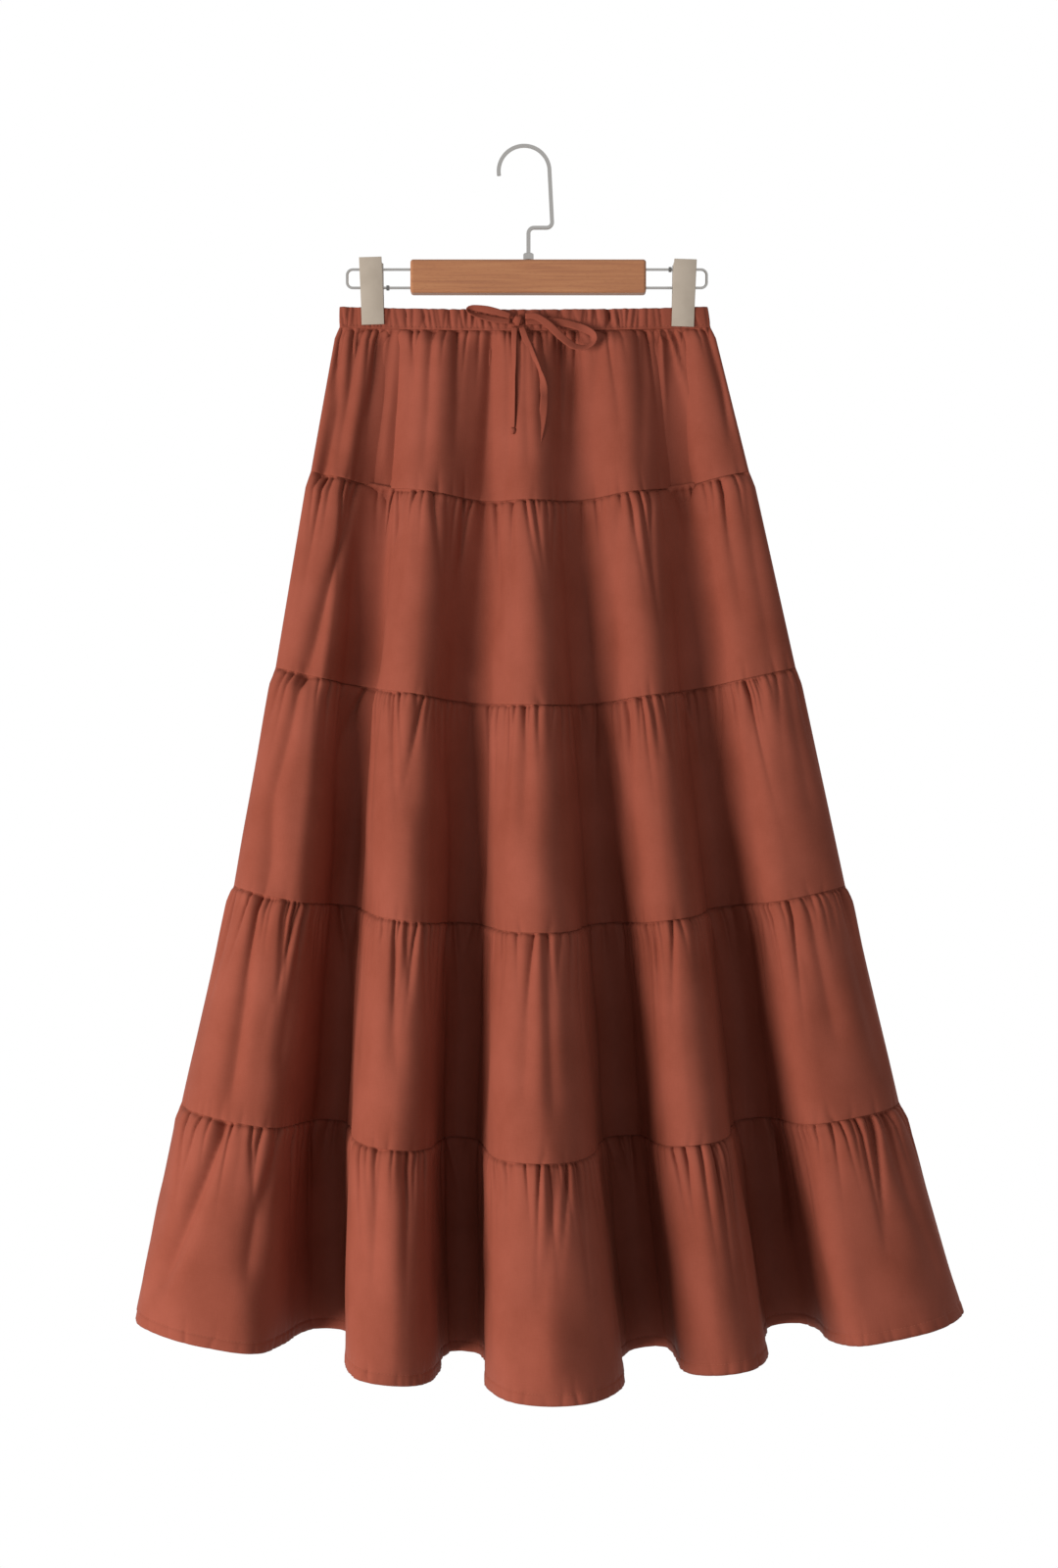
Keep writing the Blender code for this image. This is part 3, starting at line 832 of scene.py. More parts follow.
@dataclass
class ClothPanel:
    """One tier's front or back: a thin shell tucked under the seam above, gathered there and creased below."""

    style: TierStyle
    drape: Drape
    spacing: float
    creases: tuple[Crease, ...]
    swells: tuple[Crease, ...]
    sight: Sight
    above: tuple[Array, Array] | None = None
    hem: bool = False
    thickness: float = 0.8
    tuck: float = 2.1
    swell: float = 1.3
    side_fade: float = 7.0
    seam_reach: float = 13.0
    hem_depth: float = 9.0
    least_facing: float = 0.3
    facing_reach: float = 0.45
    pucker: float = 0.3
    unevenness: Pair = (0.55, 0.16)
    map_stretch: float = 1.5
    teeth: Gathers = Gathers((4.0, 11.5), (0.75, 1.3), (1.1, 5.2), (12.0, 85.0), 85.0, 0.08)
    pleats: Gathers = Gathers((13.0, 36.0), (2.3, 4.8), (1.0, 6.2), (40.0, 180.0), 90.0, 0.08)
    folds: Gathers = Gathers((38.0, 85.0), (7.0, 13.0), (1.0, 7.0), (140.0, 480.0), 180.0, 0.05)
    rows: Array = field(init=False)
    points: Array = field(init=False)
    outward: Array = field(init=False)
    foot: tuple[Array, Array] = field(init=False)

    @property
    def name(self) -> str:
        """The piece's name, which is also its solid's with a word added."""
        return f"tier_{self.style.number}_{self.drape.facing.word}"

    def row_distances(self) -> Array:
        """Distances below the seam for the grid's rows, in mm: close where the gathers are, then wider apart."""
        tall = LEVELS[self.style.number].height - LEVELS[self.style.number + 1].height
        top = [-2.6, -0.6, 0.6, 1.8, 3.2, 5.0, 7.4, 10.4, 14.2, 19.0, 25.0, 32.0]
        ending = [tall - 1.6, tall - 0.7, tall]
        if self.hem:
            edge = tall - self.hem_depth
            ending = [edge - 3.0, edge - 0.7, edge, edge + 0.7, edge + 3.0, tall - 3.0, tall]
        else:
            ending = [tall - 8.0, tall - 4.0, *ending]
        middle = np.linspace(top[-1], ending[0], int((ending[0] - top[-1]) / 9.0) + 2)[1:-1]
        return np.concatenate([top, middle, ending])

    def profile(self, down: Array, tall: float) -> Array:
        """The cloth's rise down the tier: tucked in at its seam, full below it, rolled in at its foot."""
        tucked = -self.tuck * (1.0 - smooth_step((down + 0.5) / 3.4))
        full = self.swell * smooth_step(down / 5.0) * np.exp(-((np.maximum(down, 0) / 60.0) ** 1.5))
        if self.hem:
            band = 0.35 * smooth_step((down - (tall - self.hem_depth)) / 1.0)
            stitched = -0.2 * np.exp(-0.5 * ((down - (tall - self.hem_depth)) / 0.6) ** 2)
            return tucked + full + band + stitched
        return tucked + full - 0.3 * smooth_step((down - tall + 1.6) / 1.6) ** 2

    def build(self, cloth: Material) -> None:
        """Makes the panel's shell.

        Args:
            cloth: The material it is cut from.
        """
        number = self.style.number
        down = self.row_distances()
        tall = LEVELS[number].height - LEVELS[number + 1].height
        along = self.drape.columns(number + 0.02, self.spacing)
        base = self.drape.surface(number + down / tall, along)
        top = base[2]
        run = travelled(top) / MM
        across, downward = np.gradient(base, axis=1), np.gradient(base, axis=0)
        outward = unit(np.cross(downward, across)) * -self.drape.facing.value
        seed = number * 10 + (self.drape.facing is Facing.BACK)
        seen = self.sight.seen(base)
        fine = self.style.teeth * self.teeth.relief(run, down, seed + 100)
        # Laid creases and swells die out where the cloth turns edge-on to the front, as on the sides of the pipes.
        turned = smooth_step((np.abs(outward[..., 1]) - self.least_facing) / self.facing_reach)
        fine += sum(crease.relief(seen) for crease in self.creases) * turned
        puckers = self.teeth.relief(run, np.maximum(tall - down, 0.0) * 2.2, seed + 501) * self.pucker
        fine += puckers * smooth_step((down - tall + 16.0) / 8.0)[:, None]
        broad = self.style.pleats * self.pleats.relief(run, down, seed + 200)
        broad += self.style.folds * self.folds.relief(run, down, seed + 300)
        least, more = self.unevenness
        broad += waver(run, down, seed + 400, (130.0, 75.0, 44.0), least + more * number)
        broad += sum((swell.relief(seen) for swell in self.swells), 0.0) * turned
        # The seam is shared, so the top of this tier starts with the shape of the foot of the one above.
        shared = np.zeros(len(along)) if self.above is None else np.interp(along, *self.above)
        held = 1.0 - smooth_step((down - 1.0) / self.seam_reach)[:, None]
        relief = fine * smooth_step((down + 1.0) / 3.0)[:, None] + broad * (1.0 - held) + shared * held
        self.foot = (along, relief[-1])
        lift = relief + self.profile(down, tall)[:, None]
        from_side = np.minimum(run, run[-1] - run)
        lift *= smooth_step(from_side / self.side_fade)[None]
        self.points = base + outward * lift[..., None] * MM
        self.outward = outward
        self.rows = down
        uv = np.stack(np.broadcast_arrays(run[None] * self.map_stretch * MM, down[:, None] * MM), -1)
        faces = grid_faces(len(down), len(along), self.drape.facing is Facing.BACK)
        made = mesh_object(f"{self.name}_cloth", self.points.reshape(-1, 3), [faces], uv.reshape(-1, 2))
        wall = made.modifiers.new("wall", "SOLIDIFY")
        wall.thickness = self.thickness * MM
        wall.offset = 0.0
        finish_piece(made, cloth, self.name)
        above = f"tier_{number - 1}" if number > 1 else "waist_casing"
        f"{above}_{self.drape.facing.word}"
        LOG.info("%s: %d rows by %d columns", made.name, len(down), len(along))


@dataclass
class WaistCasing:
    """Half of the drawstring casing: cloth folded over elastic, ruched all along and closed at top and bottom."""

    drape: Drape
    spacing: float = 1.1
    half_wall: float = 1.15
    ruching: Gathers = Gathers((3.0, 6.6), (0.65, 1.15), (0.8, 2.9), (300.0, 900.0), 2000.0, 0.16)
    cut: Pair = (0.46, 0.0185)
    seed: int = 40
    map_stretch: float = 1.4
    outer: Array = field(init=False)

    def build(self, cloth: Material) -> None:
        """Makes the casing's half.

        Each point is the middle surface at its height plus an offset square to it. The offsets go up the outer
        face, over the fold and down the inner face, and the ruching moves both faces together.

        Args:
            cloth: The material it is cut from.
        """
        tall = LEVELS[0].height - LEVELS[1].height
        face = np.array([17.9, 17.4, 16.9, 16.3, 15.4, 14.0, 12.0, 10.0, 8.0, 6.0, 4.0, 2.4, 1.4, 0.7])
        bulge = np.sin(np.pi * np.clip(face / tall, 0, 1)) ** 0.7
        stitched = np.exp(-0.5 * ((face - 16.3) / 0.7) ** 2)
        outer = self.half_wall * (0.62 + 0.5 * bulge - 0.35 * stitched)
        down = np.concatenate([[18.1], face, [0.2, 0.0, 0.2], face[::-1], [18.1]])
        offset = np.concatenate([[0.3], outer, [0.45, 0.0, -0.45], -outer[::-1], [-0.3]])
        along = self.drape.columns(0.5, self.spacing)
        base = self.drape.surface(down / tall, along)
        level = self.drape.surface(np.linspace(0.0, 1.0, 6), along)
        outward = unit(np.cross(np.gradient(level, axis=0), np.gradient(level, axis=1))) * -self.drape.facing.value
        outward = np.broadcast_to(outward.mean(0), base.shape)
        run = travelled(level[3]) / MM
        seed = self.seed + (self.drape.facing is Facing.BACK)
        ruched = self.ruching.relief(run, tall - down, seed) + 0.7
        held = 0.35 + 0.65 * smooth_step((17.6 - down) / 3.0) * smooth_step((down + 0.5) / 2.0)
        from_side = np.minimum(run, run[-1] - run)
        lift = offset[:, None] + ruched * held[:, None] * smooth_step(from_side / 4.0)[None]
        points = base + outward * lift[..., None] * MM
        unevenness = waver(run, down, seed + 7, (23.0, 9.0), 0.22) * smooth_step((9 - down) / 9)[:, None]
        points[..., 2] += unevenness * MM
        round_it = np.cumsum(np.abs(np.gradient(down)))
        uv = np.stack(np.broadcast_arrays(run[None] * self.map_stretch * MM, round_it[:, None] * MM), -1)
        flip = self.drape.facing is Facing.FRONT
        rows, columns = len(down), len(along)
        faces = grid_faces(rows, columns, flip, ring=True)
        start = np.arange(rows)[None] * columns
        end = start + columns - 1
        caps = [start[:, ::-1], end] if not flip else [start, end[:, ::-1]]
        word = self.drape.facing.word
        made = mesh_object(f"waist_casing_{word}_cloth", points.reshape(-1, 3), [faces, *caps], uv.reshape(-1, 2))
        self.outer = points[4] + outward[4] * 0.1 * MM
        finish_piece(made, cloth, f"waist_casing_{word}")
        LOG.info("%s: %d rows by %d columns", made.name, rows, columns)


@dataclass
class StitchRow:
    """A row of lockstitches along a line on the cloth, each a little spindle that dips in at both ends."""

    name: str
    pitch: float
    length: float
    radius: float
    raise_by: float

    def build(self, line: Array, outward: Array, thread: Material) -> None:
        """Lays the stitches.

        Each point is the stitch's middle, plus its place along times the line's direction, plus its radius there
        times the cosine and sine of its turn about that direction.

        Args:
            line: The line's points, in metres.
            outward: The cloth's outward direction at each of them.
            thread: The material of the thread.
        """
        run = travelled(line) / MM
        middles = np.arange(3.0, run[-1] - 3.0, self.pitch)
        centre = read_along(middles, run, line)
        normal = unit(read_along(middles, run, outward))
        along = unit(read_along(middles + 0.5, run, line) - centre)
        side = np.cross(along, normal)
        share = np.array([-0.5, -0.3, 0.0, 0.3, 0.5])
        thick = np.array([0.15, 0.85, 1.0, 0.85, 0.15]) * self.radius
        sunk = np.array([-0.9, 0.3, 1.0, 0.3, -0.9]) * self.raise_by
        turn = ring_turns(6)
        ring = thick[:, None] * np.cos(turn) + sunk[:, None]
        wide = thick[:, None] * np.sin(turn)
        points = (
            centre[:, None, None]
            + along[:, None, None] * (share * self.length)[None, :, None, None] * MM
            + normal[:, None, None] * ring[None, ..., None] * MM
            + side[:, None, None] * wide[None, ..., None] * MM
        ).reshape(-1, 3)
        each = np.arange(len(middles))[:, None, None] * len(share) * len(turn)
        faces = (tube_faces(len(share), len(turn))[None] + each).reshape(-1, 4)
        caps = np.stack([np.arange(6)[::-1], 24 + np.arange(6)])[None] + each
        made = mesh_object(self.name, points, [faces, caps.reshape(-1, 6)])
        finish_piece(made, thread)


# ---- The drawstring


@dataclass(frozen=True)
class Stretch:
    """One length of the tie between the knot and its end: its route in mm, and how its tape turns along it."""

    name: str
    route: tuple[Triple, ...]
    widths: tuple[float, ...]
    twists: tuple[float, ...]
    far_end: str
    length: float


STRETCHES = (
    Stretch(
        "drawstring_left_loop",
        ((-12.3, -8.7, -156.8), (-24.5, -8.8, -155.4), (-37.5, -8.9, -152.6), (-46.5, -9.3, -149.6),
         (-50.1, -9.7, -147.0), (-46.5, -10.5, -145.2), (-37.0, -11.2, -146.2), (-24.5, -11.4, -148.8),
         (-12.1, -10.9, -152.6)),
        (5.0, 6.6, 5.6, 6.6, 5.0), (10, 25, 60, 15, 0), "object", 0.083,
    ),
    Stretch(
        "drawstring_right_loop",
        ((1.3, -8.9, -157.6), (13.5, -8.8, -156.6), (28.0, -8.8, -157.2), (41.5, -9.3, -159.6),
         (53.5, -9.8, -163.6), (61.7, -10.7, -169.0), (62.1, -11.9, -175.6), (54.5, -12.3, -180.6),
         (44.5, -12.4, -179.6), (33.5, -13.0, -171.8), (21.5, -13.1, -160.6), (10.5, -12.8, -153.4),
         (1.1, -11.5, -152.8)),
        (5.0, 6.6, 7.0, 5.8, 7.0, 6.8, 5.2), (0, 10, -15, 55, 20, -10, 0), "object", 0.149,
    ),
    Stretch(
        "drawstring_left_tail",
        ((-8.4, -9.0, -161.8), (-9.0, -11.9, -175.0), (-8.8, -13.5, -195.0), (-9.2, -14.5, -215.0),
         (-9.7, -15.3, -235.0), (-10.1, -15.1, -252.0)),
        (5.0, 5.6, 5.4, 5.0, 4.2), (0, 45, 66, 50, 25), "knot", 0.091,
    ),
    Stretch(
        "drawstring_right_tail",
        ((-2.1, -9.1, -161.9), (0.9, -11.9, -172.0), (7.1, -14.3, -188.0), (13.7, -14.8, -203.0),
         (17.4, -15.2, -217.0), (17.4, -16.1, -233.0), (15.1, -16.2, -250.0), (11.5, -17.8, -267.0)),
        (5.0, 6.8, 7.2, 6.8, 7.4, 7.6), (0, 15, 58, -15, 12, 22), "bare", 0.111,
    ),
)  # fmt: skip


@dataclass
class Drawstring:
    """The bow at the front of the waist: a narrow flat tie, sewn from the skirt's cloth, with its knots."""

    thickness: float = 1.5
    width: float = 0.005
    step: float = 1.6
    knot: Triple = (-5.3, -9.8, -156.4)
    tail_knot: Triple = (-10.1, -15.1, -255.1)

    def tape(self, name: str, route: Array, widths: tuple[float, ...], twists: tuple[float, ...]) -> Object:
        """A stretch of flat tape: a rounded bar whose two long edges are rolled over their seams.

        Args:
            name: The piece's name.
            route: Points of its middle line, in metres.
            widths: Its width at even shares of its length, in mm.
            twists: How far its face is turned about its line there, in degrees.

        Returns:
            The tape's object.
        """
        path = rounded_route(route, self.step * MM)
        share = np.linspace(0.0, 1.0, len(path))
        wide = np.interp(share, np.linspace(0, 1, len(widths)), widths)
        angle = np.radians(np.interp(share, np.linspace(0, 1, len(twists)), twists))
        along = unit(np.gradient(path, axis=0))
        facing = np.broadcast_to(np.array([0.0, -1.0, 0.0]), path.shape)
        flat = unit(np.cross(along, facing))
        square = np.cross(along, flat)
        across = flat * np.cos(angle)[:, None] + square * np.sin(angle)[:, None]
        turn = ring_turns(20)
        round_x = np.sign(np.cos(turn)) * np.abs(np.cos(turn)) ** 0.8
        round_y = np.sin(turn) * (0.78 + 0.22 * np.cos(turn) ** 2 * 1.6)
        outline = np.stack(
            [round_x[None] * wide[:, None] / 2, np.broadcast_to(round_y * self.thickness / 2, (len(path), 20))], -1
        )
        return swept(name, path, across, outline * MM)

    @staticmethod
    def wrap(centre: Array, size: Triple, lean: float) -> tuple[Array, Array]:
        """The closed path of one turn of the knot about the others, with its width's direction.

        It is an ellipse in a plane that leans about the line of sight.

        Args:
            centre: The knot's middle, in metres.
            size: Half its width, depth and height, in mm.
            lean: How far it leans, in degrees.

        Returns:
            The path and the width's direction at each of its points.
        """
        turn = np.linspace(0.0, 2 * np.pi, 41)
        tilt = math.radians(lean)
        up = np.array([math.sin(tilt), 0.0, math.cos(tilt)])
        side = np.array([math.cos(tilt), 0.0, -math.sin(tilt)])
        depth = np.array([0.0, 1.0, 0.0])
        drift = (np.linspace(-0.5, 0.5, 41) * size[0])[:, None]
        path = centre + MM * (
            np.cos(turn)[:, None] * size[2] * up + np.sin(turn)[:, None] * size[1] * depth + drift * side
        )
        return path, np.broadcast_to(side, path.shape)

    def knot_piece(self, name: str, centre: Array, scale: float) -> Object:
        """A small tight knot: a padded core with two crossing turns of tape pulled over it.

        Args:
            name: The piece's name.
            centre: Its middle, in metres.
            scale: Its size as a share of the bow's knot.

        Returns:
            The knot's object.
        """
        turn = ring_turns(16)
        outline = np.stack([np.cos(turn) * 2.1, np.sin(turn) * 0.75], -1) * scale * MM
        parts = []
        for index, (size, lean) in enumerate((((1.6, 2.5, 4.1), 14.0), ((2.6, 2.1, 3.5), -62.0))):
            path, across = self.wrap(centre, tuple(value * scale for value in size), lean)
            parts.append(swept(f"{name}_{index}", path, across, outline))
        around, up = np.meshgrid(ring_turns(24), np.linspace(0, np.pi, 13), indexing="ij")
        ball = np.stack([4.6 * np.cos(around) * np.sin(up), 2.2 * np.sin(around) * np.sin(up), 3.4 * np.cos(up)], -1)
        core = centre + ball.reshape(-1, 3) * scale * MM
        parts.append(mesh_object(f"{name}_core", core, [grid_faces(*around.shape, ring=True)]))
        with bpy.context.temp_override(
            active_object=parts[0], selected_editable_objects=parts, selected_objects=parts, object=parts[0]
        ):
            bpy.ops.object.join()
        parts[0].name = name
        return parts[0]

    def build(self, cloth: Material) -> None:
        """Ties the bow.

        Args:
            cloth: The material it is sewn from.
        """
        knot = self.knot_piece("bow_knot", np.array(self.knot) * MM, 1.0)
        end_knot = self.knot_piece("tail_end_knot", np.array(self.tail_knot) * MM, 0.62)
        finish_piece(knot, cloth, "drawstring_knot")
        finish_piece(end_knot, cloth, "drawstring_tail_knot")
        for stretch in STRETCHES:
            route = np.array(stretch.route) * MM
            tape = self.tape(f"{stretch.name}_tape", route, stretch.widths, stretch.twists)
            finish_piece(tape, cloth, stretch.name)
            stretch.name == "drawstring_left_loop"
            LOG.info("%s", tape.name)


# ---- The hanger


@dataclass
class Hanger:
    """The clip hanger: its bar, its offset hook, the two slide wires and their clips."""

    hook_radius: float = 1.8
    hook_bend: float = 22.7
    hook_tip: float = 190.0
    hook_leg: float = 25.0
    hook_step: float = -71.4
    hook_corner: float = 5.0
    stem_x: float = 3.9
    bar_top: float = -100.7
    stem_depth: float = 15.0
    slide_radius: float = 1.2
    slide_heights: Pair = (-108.7, -125.1)
    slide_ends: Pair = (-158.0, 163.0)
    slide_corner: float = 5.0
    slide_held: Pair = (-87.3, 94.7)

    @staticmethod
    def wire(name: str, path: Array, radius: float, metal: Material, node: str) -> None:
        """Makes a round wire bent in one plane, its path and radius in mm, in place of a solid."""
        turn = ring_turns(20)
        outline = np.stack([np.cos(turn), np.sin(turn)], -1) * radius * MM
        across = np.broadcast_to(np.array([0.0, 1.0, 0.0]), path.shape)
        finish_piece(swept(name, path * MM, across, outline), metal, node)

    @staticmethod
    def arc(centre: Pair, radius: float, start: float, end: float, steps: int) -> Array:
        """Points on an arc in the XZ plane, in mm, its angles in degrees from +X towards +Z."""
        angle = np.radians(np.linspace(start, end, steps + 1))
        x, z = centre[0] + radius * np.cos(angle), centre[1] + radius * np.sin(angle)
        return np.stack([x, np.zeros_like(x), z], -1)

    @staticmethod
    def filled(points: Array, step: float) -> Array:
        """A line's points with more laid between them where they are far apart."""
        gaps = np.linalg.norm(np.diff(points, axis=0), axis=1)
        points = points[np.concatenate([[True], gaps > 0.01])]
        counts = np.maximum(1, np.ceil(np.linalg.norm(np.diff(points, axis=0), axis=1) / step)).astype(int)
        span, share = divided(counts)
        between = points[span] + (points[span + 1] - points[span]) * share
        return np.vstack([between, points[-1:]])

    def hook_path(self) -> Array:
        """The hook's line: crown, leg, step back to the middle, and stem down into the bar."""
        crown = (0.0, self.hook_radius - self.hook_bend)
        leg = (self.hook_leg - self.hook_corner, self.hook_step + self.hook_corner)
        stem = (self.stem_x + self.hook_corner, self.hook_step - self.hook_corner)
        foot = np.array([[self.stem_x, 0.0, self.bar_top - self.stem_depth]])
        points = np.vstack([
            self.arc(crown, self.hook_bend, self.hook_tip, 0, 48),
            self.arc(leg, self.hook_corner, 0, -90, 10),
            self.arc(stem, self.hook_corner, 90, 180, 10),
            foot,
        ])  # fmt: skip
        return self.filled(points, 4.0)

    def slide_path(self, side: int) -> Array:
        """A slide wire's line: out of the bar, round its end and back in. side is 0 at -X and 1 at +X."""
        sign = 2 * side - 1
        end = self.slide_ends[side] - sign * self.slide_corner
        upper, lower = self.slide_heights
        turn, foot = (0, -90) if side else (180, 270)
        points = np.vstack([
            [[self.slide_held[side], 0.0, upper]],
            self.arc((end, upper - self.slide_corner), self.slide_corner, 90, turn, 8),
            self.arc((end, lower + self.slide_corner), self.slide_corner, turn, foot, 8),
            [[self.slide_held[side], 0.0, lower]],
        ])  # fmt: skip
        return self.filled(points, 4.0)

    @staticmethod
    def eased_copy(node: str, finish: Material, slot: str, ease: float, angle: float) -> None:
        """Makes a copy of a rigid solid with its doubled points merged and its edges eased.

        Args:
            node: The solid's name.
            finish: The copy's material.
            slot: The record's material slot, which is not used.
            ease: How wide its edges are eased, in mm.
            angle: The least bend that counts as an edge, in degrees.
        """
        mesh = FRAME["nodes"][node].data.copy()
        mesh.name = f"{node}_eased"
        made = bpy.data.objects.new(f"{node}_eased", mesh)
        bpy.context.scene.collection.objects.link(made)
        weld = made.modifiers.new("weld", "WELD")
        weld.merge_threshold = 0.00001
        bevel = made.modifiers.new("eased_edges", "BEVEL")
        bevel.width = ease * MM
        bevel.segments = 3
        bevel.limit_method = "ANGLE"
        bevel.angle_limit = math.radians(angle)
        mesh.shade_smooth()
        mesh.set_sharp_from_angle(angle=math.radians(50))
        finish_piece(made, finish, node)

    def build(self, finishes: dict[str, Material]) -> None:
        """Builds the hanger.

        Args:
            finishes: Its materials by slot name.
        """
        self.wire("hook_wire", self.hook_path(), self.hook_radius, finishes["wire"], "hanger_hook")
        for side, word in enumerate(("left", "right")):
            path = self.slide_path(side)
            self.wire(f"{word}_slide_wire", path, self.slide_radius, finishes["wire"], f"slide_wire_{word}")
            for jaw in ("front", "back"):
                self.eased_copy(f"clip_{word}_{jaw}", finishes["clip"], "clip", 0.35, 40.0)
            dress(f"clip_{word}_spring", finishes["spring"])
            dress(f"wire_stop_{word}", finishes["spring"])
        dress("hook_ferrule", finishes["wire"])
        dress("hanger_bar", finishes["wood"])
        LOG.info("hanger")


def dress(node: str, finish: Material) -> None:
    """Gives a solid that stays on show its detailed material."""
    target = FRAME["nodes"][node]
    target.data.materials.clear()
    target.data.materials.append(finish)


# ---- The skirt as a whole

TIERS = (
    TierStyle(1, (0.42, 0.150), 1.35, 0.6, 0.5),
    TierStyle(2, (0.52, 0.195), 1.3, 0.8, 0.8),
    TierStyle(3, (0.66, 0.215), 1.35, 1.0, 0.9),
    TierStyle(4, (0.86, 0.212), 1.35, 1.0, 1.0),
    TierStyle(5, (1.10, 0.215), 1.75, 1.3, 1.1),
)

